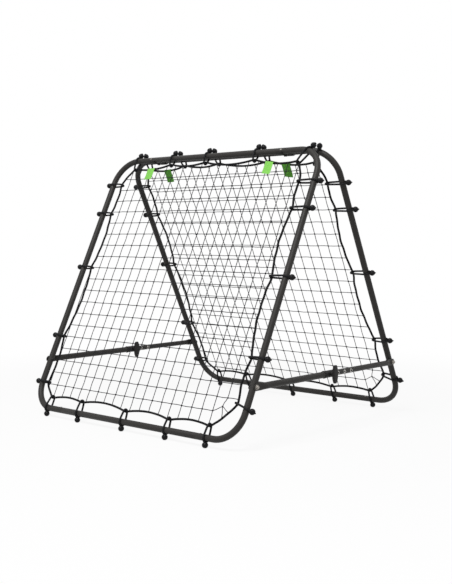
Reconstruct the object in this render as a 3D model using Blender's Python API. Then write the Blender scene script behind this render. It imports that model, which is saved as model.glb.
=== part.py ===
"""Soccer rebounder: two netted tube frames hinged at the top, held apart by two telescopic bars.

Metres, +Z up, +X to the right, the front frame at -Y. The origin is on the ground, under the middle.
Each frame is a flat rounded rectangle of steel tube that leans inwards. A place on a frame is given as
(x, s, n): x across, s up the slope from the bottom tube's centre line, n out of the frame's outer side.
"""

import math

import bmesh
import bpy
from mathutils import Vector

# Steel frames, over the outside of the tubes
FRAME_WIDTH = 0.9715
FRAME_DEPTH = 0.9215
FRAME_HEIGHT = 0.9015
TOP_SPACING = 0.0516
TUBE_DIAMETER = 0.0205
TUBE_WALL = 0.001
CORNER_RADIUS = 0.092
STUB_LENGTH = 0.0655
SPIGOT_LENGTH = 0.040

# Spreader bars
BAR_WALL = 0.0008
INNER_BAR_DIAMETER = 0.0183
INNER_BAR_WALL = 0.0010
LEFT_OUTER_BAR_LENGTH = 0.438
RIGHT_OUTER_BAR_LENGTH = 0.395
INNER_BAR_LENGTH = 0.435
PIVOT_HEIGHT = 0.174
PLATE_THICKNESS = 0.0026
PLATE_HALF_HEIGHT = 0.0115
PLATE_LENGTH = 0.020
PLATE_TAPER = 0.022
BOLT_DIAMETER = 0.008
BOLT_HEAD_DIAMETER = 0.015
BOLT_HEAD_HEIGHT = 0.005
BOLT_THREAD_END = 0.003
HOLE_PITCH = 0.037
HOLE_COUNT = 4
HOLE_DIAMETER = 0.0085
LEFT_LOCKED_HOLE = 1
RIGHT_LOCKED_HOLE = 0
KNOB_INSET = 0.026

# Lock collars and wing knobs
COLLAR_WALL = 0.0010
COLLAR_LENGTH = 0.0655
COLLAR_OVERHANG = 0.0055
BOSS_DIAMETER = 0.017
BOSS_HEIGHT = 0.004
SCREW_DIAMETER = 0.006
WING_HEIGHT = 0.057
WING_WIDTH = 0.021
WING_THICKNESS = 0.009
HUB_DIAMETER = 0.015
HUB_HEIGHT = 0.0025

# Hinge clips under the top tubes
CLIP_WIDTH = 0.026
CLIP_WALL = 0.003
CLIP_INSET = 0.018
CLIP_WEB = 0.006
CLIP_LIP_ANGLE = 20.0
CLIP_INNER_ANGLE = 40.0
CLIP_BOSS_DROP = 0.0165

# Ball bungees
BALL_RADIUS = 0.00975
BALL_STANDOFF = 0.0040
BALL_GROUND_FLAT = 0.0009
FOOT_BALL_STANDOFF = 0.0017
FOOT_BALL_SWING = 14.0
LOOP_THICKNESS = 0.0046

# Nets
BORDER_THICKNESS = 0.0058
TWINE_THICKNESS = 0.0024
CELL_WIDTH = 0.04346
CELL_HEIGHT = 0.04535
CELLS_JOINED = 2
FIRST_COLUMN = -0.390
FIRST_ROW = 0.0844
SCALLOP = 0.06
TAB_WIDTH = 0.031
TAB_LENGTH = 0.037
TAB_THICKNESS = 0.0016
TAB_PLACES = (-0.625, 0.557)

# Clearances: parts at rest on each other, parts that run on each other, and the open pivot
SEAT_GAP = 0.0003
RUNNING_GAP = 0.0003
OPEN_PIVOT_GAP = 0.0006
HOOK_GAP = 0.0008

# Bungee stations: (share of the half width or of the slope, distance from tube to border cord, and in
# places a slant in degrees from square to the tube)
BOTTOM_STATIONS = ((-0.843, 0.037), (-0.492, 0.039), (-0.031, 0.035), (0.389, 0.034), (0.747, 0.037))
TOP_STATIONS = ((-0.803, 0.034), (-0.419, 0.0245), (-0.063, 0.0245), (0.413, 0.027), (0.890, 0.047, -13.8))
LEFT_STATIONS = ((0.091, 0.032), (0.272, 0.027), (0.550, 0.041), (0.775, 0.044), (0.898, 0.046))
RIGHT_STATIONS = ((0.108, 0.040, -15.0), (0.268, 0.039), (0.540, 0.054), (0.781, 0.055), (0.879, 0.059))

# Facets
TUBE_SIDES = 10
BEND_STEPS = 5
BAR_SIDES = 12
BALL_SEGMENTS = 8
SMALL_SIDES = 6
ARC_STEP = 20.0

# Worked out from the sizes above
TUBE_RADIUS = TUBE_DIAMETER / 2
HALF_WIDTH = FRAME_WIDTH / 2 - TUBE_RADIUS
FOOT_Y = FRAME_DEPTH / 2 - TUBE_RADIUS
TOP_Y = TOP_SPACING / 2
RISE = FRAME_HEIGHT - TUBE_DIAMETER
SLOPE = math.hypot(FOOT_Y - TOP_Y, RISE)
LEAN_SIN = (FOOT_Y - TOP_Y) / SLOPE
LEAN_COS = RISE / SLOPE
BALL_REACH = TUBE_RADIUS + BALL_STANDOFF + BALL_RADIUS
FOOT_BALL_REACH = TUBE_RADIUS + FOOT_BALL_STANDOFF + BALL_RADIUS
FOOT_BALL_LEAN = math.asin(LEAN_SIN) - math.radians(FOOT_BALL_SWING)
FOOT_Z = BALL_RADIUS - BALL_GROUND_FLAT + FOOT_BALL_REACH * math.cos(FOOT_BALL_LEAN)
TOP_Z = FOOT_Z + RISE
JOINT_X = HALF_WIDTH - CORNER_RADIUS - STUB_LENGTH
PIVOT_Y = FOOT_Y - PIVOT_HEIGHT * LEAN_SIN
PIVOT_Z = FOOT_Z + PIVOT_HEIGHT * LEAN_COS
BAR_OFFSET = TUBE_RADIUS + SEAT_GAP + PLATE_THICKNESS / 2
BOSS_FACE = TUBE_RADIUS + SEAT_GAP + COLLAR_WALL + BOSS_HEIGHT

FRONT = -1
REAR = 1
LEFT = -1
RIGHT = 1


def clear_scene():
    """Start from an empty scene."""
    for thing in list(bpy.data.objects):
        bpy.data.objects.remove(thing, do_unlink=True)


def make_material(name, colour, roughness, metallic):
    """A plain Principled material."""
    material = bpy.data.materials.new(name)
    material.use_nodes = True
    shader = material.node_tree.nodes["Principled BSDF"]
    shader.inputs["Base Color"].default_value = (*colour, 1.0)
    shader.inputs["Roughness"].default_value = roughness
    shader.inputs["Metallic"].default_value = metallic
    return material


def make_axis(name, place, parent=None):
    """An empty that marks a joint's axis and carries what turns or slides on it."""
    axis = bpy.data.objects.new(name, None)
    axis.empty_display_size = 0.05
    bpy.context.collection.objects.link(axis)
    axis.parent = parent
    offset = Vector(place) - (world_place(parent) if parent else Vector())
    axis.location = offset
    return axis


def world_place(thing):
    """Where an unturned object stands in the world."""
    place = Vector()
    while thing is not None:
        place += thing.location
        thing = thing.parent
    return place


def make_object(name, bm, parent=None, material=None):
    """Close the mesh in bm, given in world coordinates, and hang it on its axis."""
    bmesh.ops.recalc_face_normals(bm, faces=bm.faces)
    if parent is not None:
        bmesh.ops.translate(bm, verts=bm.verts, vec=-world_place(parent))
    mesh = bpy.data.meshes.new(name)
    bm.to_mesh(mesh)
    bm.free()
    mesh.shade_smooth()
    mesh.set_sharp_from_angle(angle=math.radians(38))
    thing = bpy.data.objects.new(name, mesh)
    bpy.context.collection.objects.link(thing)
    thing.parent = parent
    if material is not None:
        mesh.materials.append(material)
    return thing


def shape_with(thing, operation, name, bm):
    """Join, cut or trim a part with a hidden tool shape."""
    tool = make_object(name, bm, thing.parent)
    tool.hide_render = True
    tool.display_type = "WIRE"
    step = thing.modifiers.new(name, "BOOLEAN")
    step.operation = operation
    step.solver = "EXACT"
    step.object = tool


def on_frame(side, x, s, n=0.0):
    """World place of a point given on a frame."""
    y = FOOT_Y - s * LEAN_SIN + n * LEAN_COS
    z = FOOT_Z + s * LEAN_COS + n * LEAN_SIN
    return Vector((x, side * y, z))


def loft(bm, rings, closed=False):
    """Skin rings of equal counts, capped at both ends or closed on themselves."""
    rows = [[bm.verts.new(point) for point in ring] for ring in rings]
    pairs = list(zip(rows, rows[1:]))
    if closed:
        pairs.append((rows[-1], rows[0]))
    for low, high in pairs:
        for k in range(len(low)):
            nxt = (k + 1) % len(low)
            bm.faces.new((low[k], low[nxt], high[nxt], high[k]))
    if not closed:
        bm.faces.new(rows[0])
        bm.faces.new(rows[-1])
    return bm


def ring_angles(sides):
    """Evenly spaced angles round a ring."""
    return [2 * math.pi * k / sides for k in range(sides)]


def drawn_round(radius, sides):
    """Corner radius of a ring whose flats clear a round of this radius."""
    return radius / math.cos(math.pi / sides)


def turned(profile, centre, axis, sides, closed=False):
    """A turned solid: profile is a row of (distance along the axis, radius)."""
    along = Vector(axis).normalized()
    across = along.orthogonal().normalized()
    third = along.cross(across)
    rings = []
    for distance, radius in profile:
        middle = Vector(centre) + along * distance
        rings.append([middle + (across * math.cos(a) + third * math.sin(a)) * radius
                      for a in ring_angles(sides)])
    return loft(bmesh.new(), rings, closed)


def side_tube_centreline(hand):
    """Points along a side tube with their outward directions, lower stub to upper stub."""
    inner = HALF_WIDTH - CORNER_RADIUS
    stops = [(JOINT_X, 0.0, 0.0, -1.0)]
    for middle_s, start in ((CORNER_RADIUS, -90.0), (SLOPE - CORNER_RADIUS, 0.0)):
        for k in range(BEND_STEPS + 1):
            a = math.radians(start + 90.0 * k / BEND_STEPS)
            x = inner + CORNER_RADIUS * math.cos(a)
            s = middle_s + CORNER_RADIUS * math.sin(a)
            stops.append((x, s, math.cos(a), math.sin(a)))
    stops.append((JOINT_X, SLOPE, 0.0, 1.0))
    return [(hand * x, s, hand * dx, ds) for x, s, dx, ds in stops]


def tube_ring(side, stop, radius):
    """A ring round one point of a side tube's centre line."""
    x, s, dx, ds = stop
    return [on_frame(side, x + dx * radius * math.cos(a), s + ds * radius * math.cos(a),
                     radius * math.sin(a)) for a in ring_angles(TUBE_SIDES)]


def build_side_tube(name, side, hand, parent, material):
    """One bent side tube with the bar's pivot bolt through its leg."""
    stops = side_tube_centreline(hand)
    outer = [tube_ring(side, stop, TUBE_RADIUS) for stop in stops]
    inner = [tube_ring(side, stop, TUBE_RADIUS - TUBE_WALL) for stop in reversed(stops)]
    tube = make_object(name, loft(bmesh.new(), outer + inner, closed=True), parent, material)
    shape_with(tube, "UNION", name + "_bolt", pivot_bolt(side, hand))


def pivot_bolt(side, hand):
    """Bolt from the leg's inner side: head, shank through leg and bar end, nut and thread end outside."""
    shank = BOLT_DIAMETER / 2
    head = BOLT_HEAD_DIAMETER / 2
    near = -TUBE_RADIUS + TUBE_WALL / 2
    nut_face = TUBE_RADIUS + 2 * SEAT_GAP + PLATE_THICKNESS
    nut_end = nut_face + BOLT_HEAD_HEIGHT
    profile = [(-TUBE_RADIUS - BOLT_HEAD_HEIGHT, 0.5 * head), (-TUBE_RADIUS - 0.4 * BOLT_HEAD_HEIGHT, head),
               (near, head), (near, shank), (nut_face, shank), (nut_face, 0.8 * head),
               (nut_end, 0.8 * head), (nut_end, 0.9 * shank), (nut_end + BOLT_THREAD_END, 0.8 * shank)]
    return turned(profile, (hand * HALF_WIDTH, side * PIVOT_Y, PIVOT_Z), (hand, 0, 0), SMALL_SIDES)


def build_cross_tube(name, side, s, parent, material):
    """A straight top or bottom tube, swaged down at both ends to plug into the side tubes."""
    end = JOINT_X + SPIGOT_LENGTH
    shoulder = JOINT_X - SEAT_GAP
    spigot = TUBE_RADIUS - TUBE_WALL - SEAT_GAP
    stops = [(-end, spigot), (-shoulder, spigot), (-shoulder, TUBE_RADIUS),
             (shoulder, TUBE_RADIUS), (shoulder, spigot), (end, spigot)]
    bore = spigot - TUBE_WALL
    rings = [cross_ring(side, s, x, radius) for x, radius in stops]
    rings += [cross_ring(side, s, x, bore) for x in (end, -end)]
    make_object(name, loft(bmesh.new(), rings, closed=True), parent, material)


def cross_ring(side, s, x, radius):
    """A ring round a top or bottom tube, in step with the rings of the side tubes."""
    return [on_frame(side, x, s + radius * math.cos(a), radius * math.sin(a))
            for a in ring_angles(TUBE_SIDES)]


def station_on_edge(edge, share, slant=0.0):
    """Tube centre and the bungee's outward direction at a station, as (x, s, dx, ds)."""
    half = HALF_WIDTH if edge in ("bottom", "top") else SLOPE / 2
    place = share * half if edge in ("bottom", "top") else (2 * share - 1) * half
    straight = half - CORNER_RADIUS
    past = max(0.0, abs(place) - straight)
    turn = math.radians(45.0 * past / CORNER_RADIUS)
    sign = math.copysign(1.0, place)
    along = sign * (min(abs(place), straight) + CORNER_RADIUS * math.sin(turn))
    out = CORNER_RADIUS * math.cos(turn) - CORNER_RADIUS
    across = sign * math.sin(turn)
    if edge == "bottom":
        spot, direction = (along, -out), (across, -math.cos(turn))
    elif edge == "top":
        spot, direction = (along, SLOPE + out), (across, math.cos(turn))
    else:
        hand = LEFT if edge == "left" else RIGHT
        spot, direction = (hand * (HALF_WIDTH + out), SLOPE / 2 + along), (hand * math.cos(turn), across)
    a = math.radians(slant)
    return (*spot, direction[0] * math.cos(a) - direction[1] * math.sin(a),
            direction[0] * math.sin(a) + direction[1] * math.cos(a))


def ball_rows():
    """The ball's inner rows as (distance along its axis, radius)."""
    return [(BALL_RADIUS * math.cos(math.radians(a)), BALL_RADIUS * math.sin(math.radians(a)))
            for a in (36.0, 72.0, 108.0, 144.0)]


def loop_route(reach):
    """The elastic's route from the ball, past the tube, round the border cord: (out, n) points."""
    half = LOOP_THICKNESS / 2
    pass_tube = TUBE_RADIUS * math.cos(math.pi / TUBE_SIDES) + SEAT_GAP + half
    hook = BORDER_THICKNESS / 2 + HOOK_GAP + half
    wide = 0.85 * pass_tube
    return [(0.72 * TUBE_RADIUS, pass_tube), (-0.80 * TUBE_RADIUS, pass_tube),
            (-reach + 0.9 * hook, wide), (-reach - hook, 0.65 * hook)]


def build_bungee(name, side, edge, station, parent, material):
    """One ball bungee: a ball outside the tube and a loop round the tube and the border cord."""
    share, reach, *slant = station
    x, s, dx, ds = station_on_edge(edge, share, *slant)
    standing = edge == "bottom"
    ball_reach = FOOT_BALL_REACH if standing else BALL_REACH
    swing = math.radians(FOOT_BALL_SWING) if standing else 0.0

    def place(out, n, t):
        return on_frame(side, x + dx * out - ds * t, s + ds * out + dx * t, n)

    def place_ball(out, n, t):
        return place(out * math.cos(swing) + n * math.sin(swing),
                     n * math.cos(swing) - out * math.sin(swing), t)

    bm = bmesh.new()
    openings = add_ball(bm, place_ball, ball_reach)
    add_loop(bm, place, ball_reach, loop_route(reach), openings)
    if standing:
        flatten_on_ground(bm)
    make_object(name, bm, parent, material)


def add_ball(bm, place, reach):
    """Ball with two open quads, at +n and -n, on its side that faces the tube."""
    turn = math.pi / BALL_SEGMENTS
    rows = []
    for out, radius in ball_rows():
        rows.append([bm.verts.new(place(reach + out, radius * math.cos(a + turn), radius * math.sin(a + turn)))
                     for a in ring_angles(BALL_SEGMENTS)])
    outer_pole = bm.verts.new(place(reach + BALL_RADIUS, 0.0, 0.0))
    inner_pole = bm.verts.new(place(reach - BALL_RADIUS, 0.0, 0.0))
    half_turn = BALL_SEGMENTS // 2
    left_open = (BALL_SEGMENTS - 1, half_turn - 1)
    for k in range(BALL_SEGMENTS):
        nxt = (k + 1) % BALL_SEGMENTS
        bm.faces.new((outer_pole, rows[0][k], rows[0][nxt]))
        bm.faces.new((inner_pole, rows[3][nxt], rows[3][k]))
        for low, high in zip(rows, rows[1:]):
            if high is rows[3] and k in left_open:
                continue
            bm.faces.new((low[k], high[k], high[nxt], low[nxt]))
    wide, narrow = rows[2], rows[3]
    last = BALL_SEGMENTS - 1
    upper = [wide[0], narrow[0], narrow[last], wide[last]]
    lower = [wide[half_turn - 1], narrow[half_turn - 1], narrow[half_turn], wide[half_turn]]
    return upper, lower


def add_loop(bm, place, ball_reach, route, openings):
    """Square-section loop from one opening of the ball to the other, round the border cord."""
    half = LOOP_THICKNESS / 2
    root = (ball_reach - 0.6 * BALL_RADIUS, 0.8 * route[0][1])
    points = [Vector(point) for point in [root] + route]
    points += [Vector((point.x, -point.y)) for point in reversed(points)]
    rows = [openings[0]]
    for before, point, after in zip(points, points[1:], points[2:]):
        leave = (after - point).normalized()
        along = ((point - before).normalized() + leave).normalized()
        normal = Vector((along.y, -along.x)) * half / max(0.7, along.dot(leave))
        rows.append([bm.verts.new(place(point.x + q * normal.x, point.y + q * normal.y, t * half))
                     for q, t in ((1, 1), (-1, 1), (-1, -1), (1, -1))])
    rows.append(openings[1])
    for low, high in zip(rows, rows[1:]):
        for k in range(4):
            nxt = (k + 1) % 4
            bm.faces.new((low[k], low[nxt], high[nxt], high[k]))


def flatten_on_ground(bm):
    """The balls that the frame stands on are pressed flat where they meet the ground."""
    geometry = list(bm.verts) + list(bm.edges) + list(bm.faces)
    bmesh.ops.bisect_plane(bm, geom=geometry, dist=1e-6, plane_co=(0, 0, 0), plane_no=(0, 0, -1),
                           clear_outer=True)
    rim = [edge for edge in bm.edges if edge.is_boundary]
    bmesh.ops.holes_fill(bm, edges=rim, sides=0)


def border_hooks():
    """Where the border cord is pulled out, round the net from the lower left: (place, direction)."""
    hooks = []
    runs = (("bottom", BOTTOM_STATIONS), ("right", RIGHT_STATIONS),
            ("top", tuple(reversed(TOP_STATIONS))), ("left", tuple(reversed(LEFT_STATIONS))))
    for edge, stations in runs:
        for share, reach, *slant in stations:
            x, s, dx, ds = station_on_edge(edge, share, *slant)
            hooks.append((Vector((x - dx * reach, s - ds * reach, 0.0)), Vector((-ds, dx, 0.0))))
    return hooks


def border_line():
    """The border cord's centre line as (x, s) points: square through each hook, scalloped between."""
    hooks = border_hooks()
    points = []
    for k, (hook, direction) in enumerate(hooks):
        start = hook + direction * LOOP_THICKNESS
        place, onward = hooks[(k + 1) % len(hooks)]
        end = place - onward * LOOP_THICKNESS
        span = end - start
        inward = Vector((-span.y, span.x, 0.0))
        corner = k % len(BOTTOM_STATIONS) == len(BOTTOM_STATIONS) - 1
        for t in ((0.0, 1.0) if corner else (0.0, 0.3, 0.7, 1.0)):
            points.append(start + span * t + inward * SCALLOP * 4 * t * (1 - t))
    return points


def border_solid(side):
    """The border cord as a square-section closed loop."""
    points = border_line()
    half = BORDER_THICKNESS / 2
    rings = []
    for k, point in enumerate(points):
        arrive = (point - points[k - 1]).normalized()
        leave = (points[(k + 1) % len(points)] - point).normalized()
        along = (arrive + leave).normalized()
        across = Vector((along.y, -along.x, 0.0)) * half
        rings.append([on_frame(side, point.x + q * across.x, point.y + q * across.y, n * half)
                      for q, n in ((1, 1), (-1, 1), (-1, -1), (1, -1))])
    return loft(bmesh.new(), rings, closed=True)


def twine_lines(first, pitch, low, high, keep_clear):
    """Even twine places between two limits, moved off any hook that they would run into."""
    margin = LOOP_THICKNESS + TWINE_THICKNESS
    lines = []
    place = first - pitch * math.floor((first - low) / pitch)
    choices = [hook + shift for hook in keep_clear for shift in (-margin, margin)]
    while place < high:
        free = [spot for spot in [place] + choices
                if all(abs(spot - hook) > 0.99 * margin for hook in keep_clear)]
        lines.append(min(free, key=lambda spot: abs(spot - place)))
        place += pitch
    return lines


def lattice_solid(side):
    """Crossing twines as one flat lattice, wider and taller than the net."""
    outline = border_line()
    hooks = border_hooks()
    xs = [p.x for p in outline]
    ss = [p.y for p in outline]
    margin = BORDER_THICKNESS + 2 * TWINE_THICKNESS
    columns = twine_lines(FIRST_COLUMN, CELLS_JOINED * CELL_WIDTH, min(xs) + margin, max(xs) - margin,
                          [hook.x for hook, _ in hooks])
    rows = twine_lines(FIRST_ROW, CELLS_JOINED * CELL_HEIGHT, min(ss) + margin, max(ss) - margin,
                       [hook.y for hook, _ in hooks])
    across = lattice_stops(columns, min(xs) - margin, max(xs) + margin)
    up = lattice_stops(rows, min(ss) - margin, max(ss) + margin)
    bm = bmesh.new()
    half = TWINE_THICKNESS / 2
    layers = [[[bm.verts.new(on_frame(side, x, s, n)) for s in up] for x in across] for n in (-half, half)]
    add_lattice_faces(bm, layers, len(across), len(up))
    bmesh.ops.delete(bm, geom=[v for v in bm.verts if not v.link_faces], context="VERTS")
    return bm


def lattice_stops(lines, low, high):
    """Both edges of every twine, between the lattice's two limits."""
    half = TWINE_THICKNESS / 2
    stops = [low]
    for line in lines:
        stops += [line - half, line + half]
    return stops + [high]


def add_lattice_faces(bm, layers, count_x, count_s):
    """Skin both faces of the twines and the walls of every opening between them."""
    def solid(i, j):
        inside = 0 <= i < count_x - 1 and 0 <= j < count_s - 1
        return inside and (i % 2 == 1 or j % 2 == 1)

    for i in range(count_x - 1):
        for j in range(count_s - 1):
            if not solid(i, j):
                continue
            corners = ((i, j), (i + 1, j), (i + 1, j + 1), (i, j + 1))
            for layer in layers:
                bm.faces.new([layer[a][b] for a, b in corners])
            neighbours = ((i, j - 1), (i + 1, j), (i, j + 1), (i - 1, j))
            for k, (a, b) in enumerate(neighbours):
                if solid(a, b):
                    continue
                p, q = corners[k], corners[(k + 1) % 4]
                bm.faces.new((layers[0][p[0]][p[1]], layers[0][q[0]][q[1]],
                              layers[1][q[0]][q[1]], layers[1][p[0]][p[1]]))


def net_trim(side):
    """A slab inside the border cord's centre line, which trims the lattice."""
    depth = 2 * BORDER_THICKNESS
    rings = [[on_frame(side, point.x, point.y, n) for point in border_line()] for n in (-depth, depth)]
    return loft(bmesh.new(), rings)


def tab_solid(side, share):
    """A cloth tab that hangs from the border cord under the top tube."""
    centre = share * HALF_WIDTH
    hang = max(p.y for p in border_line() if abs(p.x - centre) < HALF_WIDTH / 4)
    top = hang - BORDER_THICKNESS
    half = TAB_THICKNESS / 2
    rings = []
    for n in (-half, half):
        rings.append([on_frame(side, centre + dx * TAB_WIDTH / 2, top - ds * TAB_LENGTH, n)
                      for dx, ds in ((-1, 0), (1, 0), (1, 1), (-1, 1))])
    return loft(bmesh.new(), rings)


def build_net(name, side, parent, material):
    """A net: lattice of twine, scalloped border cord and two cloth tabs."""
    net = make_object(name, lattice_solid(side), parent, material)
    shape_with(net, "INTERSECT", name + "_trim", net_trim(side))
    shape_with(net, "UNION", name + "_border", border_solid(side))
    for k, share in enumerate(TAB_PLACES):
        shape_with(net, "UNION", f"{name}_tab_{k + 1}", tab_solid(side, share))


def bar_ring(centre, y, radius, flatness, half_height):
    """A ring round a bar, from round to a flat plate across its middle."""
    middle, height = centre
    ring = []
    for a in ring_angles(BAR_SIDES):
        side_of = 0.0 if abs(math.cos(a)) < 1e-6 else math.copysign(1.0, math.cos(a))
        flat = (side_of * PLATE_THICKNESS / 2, half_height * math.sin(a))
        full = (radius * math.cos(a), radius * math.sin(a))
        x = full[0] + (flat[0] - full[0]) * flatness
        z = full[1] + (flat[1] - full[1]) * flatness
        ring.append(Vector((middle + x, y, height + z)))
    return ring


def bar_solid(bar_x, pivot_y, toward, length, radius, wall):
    """A tube with one end flattened round its pivot and a bore from its open end.

    toward is +1 when the bar runs to +Y from its pivot.
    """
    centre = (bar_x, PIVOT_Z)
    rings = []
    for share in (0.985, 0.8, 0.45):
        half_height = PLATE_HALF_HEIGHT * math.sqrt(1 - share * share)
        rings.append(bar_ring(centre, pivot_y - toward * share * PLATE_HALF_HEIGHT, radius, 1.0, half_height))
    rings.append(bar_ring(centre, pivot_y, radius, 1.0, PLATE_HALF_HEIGHT))
    rings.append(bar_ring(centre, pivot_y + toward * PLATE_LENGTH, radius, 1.0, PLATE_HALF_HEIGHT))
    rings.append(bar_ring(centre, pivot_y + toward * (PLATE_LENGTH + PLATE_TAPER / 2), radius, 0.5,
                          PLATE_HALF_HEIGHT))
    round_from = PLATE_LENGTH + PLATE_TAPER
    rings.append(bar_ring(centre, pivot_y + toward * round_from, radius, 0.0, radius))
    rings.append(bar_ring(centre, pivot_y + toward * length, radius, 0.0, radius))
    bore = radius - wall
    rings.append(bar_ring(centre, pivot_y + toward * length, bore, 0.0, bore))
    rings.append(bar_ring(centre, pivot_y + toward * (round_from + radius), bore, 0.0, bore))
    return loft(bmesh.new(), rings)


def cross_hole(x_from, x_to, y, radius, sides):
    """A drill along X at bar height, drawn round its radius so that the flats clear it."""
    reach = drawn_round(radius, sides)
    return turned([(0.0, reach), (x_to - x_from, reach)], (x_from, y, PIVOT_Z), (1, 0, 0), sides)


def outer_bar_length(hand):
    """Length of one outer bar from its pivot."""
    return LEFT_OUTER_BAR_LENGTH if hand == LEFT else RIGHT_OUTER_BAR_LENGTH


def knob_place(hand):
    """How far along Y one bar's knob stands."""
    return -PIVOT_Y + outer_bar_length(hand) - KNOB_INSET


def build_outer_bar(name, hand, bar_x, parent, material):
    """The thicker bar tube on the front leg."""
    radius = TUBE_RADIUS
    bar = make_object(name, bar_solid(bar_x, -PIVOT_Y, 1, outer_bar_length(hand), radius, BAR_WALL),
                      parent, material)
    shape_with(bar, "DIFFERENCE", name + "_pivot_hole",
               cross_hole(bar_x - PLATE_THICKNESS, bar_x + PLATE_THICKNESS, -PIVOT_Y,
                          BOLT_DIAMETER / 2 + RUNNING_GAP, BAR_SIDES))
    shape_with(bar, "DIFFERENCE", name + "_screw_hole",
               cross_hole(bar_x, bar_x + 2 * radius, knob_place(hand), SCREW_DIAMETER / 2 + RUNNING_GAP,
                          SMALL_SIDES))


def build_inner_bar(name, hand, bar_x, parent, material):
    """The thinner bar tube on the rear leg, with the adjusting holes."""
    radius = INNER_BAR_DIAMETER / 2
    bar = make_object(name, bar_solid(bar_x, PIVOT_Y, -1, INNER_BAR_LENGTH, radius, INNER_BAR_WALL),
                      parent, material)
    shape_with(bar, "DIFFERENCE", name + "_pivot_hole",
               cross_hole(bar_x - PLATE_THICKNESS, bar_x + PLATE_THICKNESS, PIVOT_Y,
                          BOLT_DIAMETER / 2 + OPEN_PIVOT_GAP, BAR_SIDES))
    locked = LEFT_LOCKED_HOLE if hand == LEFT else RIGHT_LOCKED_HOLE
    for k in range(HOLE_COUNT):
        shape_with(bar, "DIFFERENCE", f"{name}_hole_{k + 1}",
                   cross_hole(bar_x - TUBE_RADIUS, bar_x + TUBE_RADIUS,
                              knob_place(hand) + (k - locked) * HOLE_PITCH, HOLE_DIAMETER / 2, SMALL_SIDES))


def build_collar(name, hand, bar_x, parent, material):
    """Sleeve over the outer tube's end, with a boss for the knob and a lip round the inner tube."""
    inside = drawn_round(TUBE_RADIUS + SEAT_GAP, BAR_SIDES)
    outside = inside + COLLAR_WALL
    lip = drawn_round(INNER_BAR_DIAMETER / 2 + RUNNING_GAP, BAR_SIDES)
    tube_end = -PIVOT_Y + outer_bar_length(hand)
    rear = tube_end + COLLAR_OVERHANG
    front = rear - COLLAR_LENGTH
    seat = tube_end + SEAT_GAP
    bevel = COLLAR_WALL / 2
    sleeve = [(front, outside - bevel), (front + bevel, outside), (rear - bevel, outside),
              (rear, outside - bevel)]
    collar = make_object(name, turned(sleeve, (bar_x, 0.0, PIVOT_Z), (0, 1, 0), BAR_SIDES), parent, material)
    knob_y = knob_place(hand)
    boss = [(0.4 * TUBE_RADIUS, BOSS_DIAMETER / 2), (BOSS_FACE, 0.9 * BOSS_DIAMETER / 2)]
    shape_with(collar, "UNION", name + "_boss", turned(boss, (bar_x, knob_y, PIVOT_Z), (1, 0, 0), BAR_SIDES))
    bore = [(front - COLLAR_WALL, inside), (seat, inside), (seat, lip), (rear + COLLAR_WALL, lip)]
    shape_with(collar, "DIFFERENCE", name + "_bore",
               turned(bore, (bar_x, 0.0, PIVOT_Z), (0, 1, 0), BAR_SIDES))
    shape_with(collar, "DIFFERENCE", name + "_screw_hole",
               cross_hole(bar_x, bar_x + 3 * TUBE_RADIUS, knob_y, SCREW_DIAMETER / 2 + RUNNING_GAP,
                          SMALL_SIDES))


def build_knob(name, hand, bar_x, parent, material):
    """Wing knob: screw tip at the inner tube, hub on the boss and a tall narrow wing."""
    screw = SCREW_DIAMETER / 2
    tip = INNER_BAR_DIAMETER / 2 + RUNNING_GAP
    face = BOSS_FACE + SEAT_GAP
    hub = HUB_DIAMETER / 2
    wing = (WING_WIDTH / 2, WING_HEIGHT / 2)
    stops = [(tip, 0.7 * screw, 0.7 * screw), (tip + 0.3 * screw, screw, screw), (face, screw, screw),
             (face, hub, hub), (face + HUB_HEIGHT, hub, hub), (face + HUB_HEIGHT, 0.9 * wing[0], 0.9 * wing[1]),
             (face + HUB_HEIGHT + 0.25 * WING_THICKNESS, *wing),
             (face + HUB_HEIGHT + 0.75 * WING_THICKNESS, 0.95 * wing[0], 0.95 * wing[1]),
             (face + HUB_HEIGHT + WING_THICKNESS, 0.6 * wing[0], 0.75 * wing[1])]
    rings = [[Vector((bar_x + x, knob_place(hand) + half_y * math.cos(a), PIVOT_Z + half_z * math.sin(a)))
              for a in ring_angles(BAR_SIDES)] for x, half_y, half_z in stops]
    make_object(name, loft(bmesh.new(), rings), parent, material)


def arc(centre, radius, start, stop):
    """Points on an arc in the (y, z) plane, from start to stop in degrees."""
    steps = max(1, round(abs(stop - start) / ARC_STEP))
    return [(centre[0] + radius * math.cos(math.radians(start + (stop - start) * k / steps)),
             centre[1] + radius * math.sin(math.radians(start + (stop - start) * k / steps)))
            for k in range(steps + 1)]


def clip_outline():
    """Outline of a hinge clip: two open saddles under the tubes, joined by a web."""
    inner = TUBE_RADIUS + RUNNING_GAP
    outer = inner + CLIP_WALL
    web = math.degrees(math.asin(CLIP_WEB / 2 / outer))
    front = (-TOP_Y, TOP_Z)
    rear = (TOP_Y, TOP_Z)
    lip = CLIP_LIP_ANGLE
    top = CLIP_INNER_ANGLE
    points = arc(front, outer, 180 + lip, 360 - web) + arc(rear, outer, 180 + web, 360 - lip)
    points += arc(rear, inner, 360 - lip, 180 - top) + arc(rear, outer, 180 - top, 180 - web)
    points += arc(front, outer, web, top) + arc(front, inner, top, -180 + lip)
    return points


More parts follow.
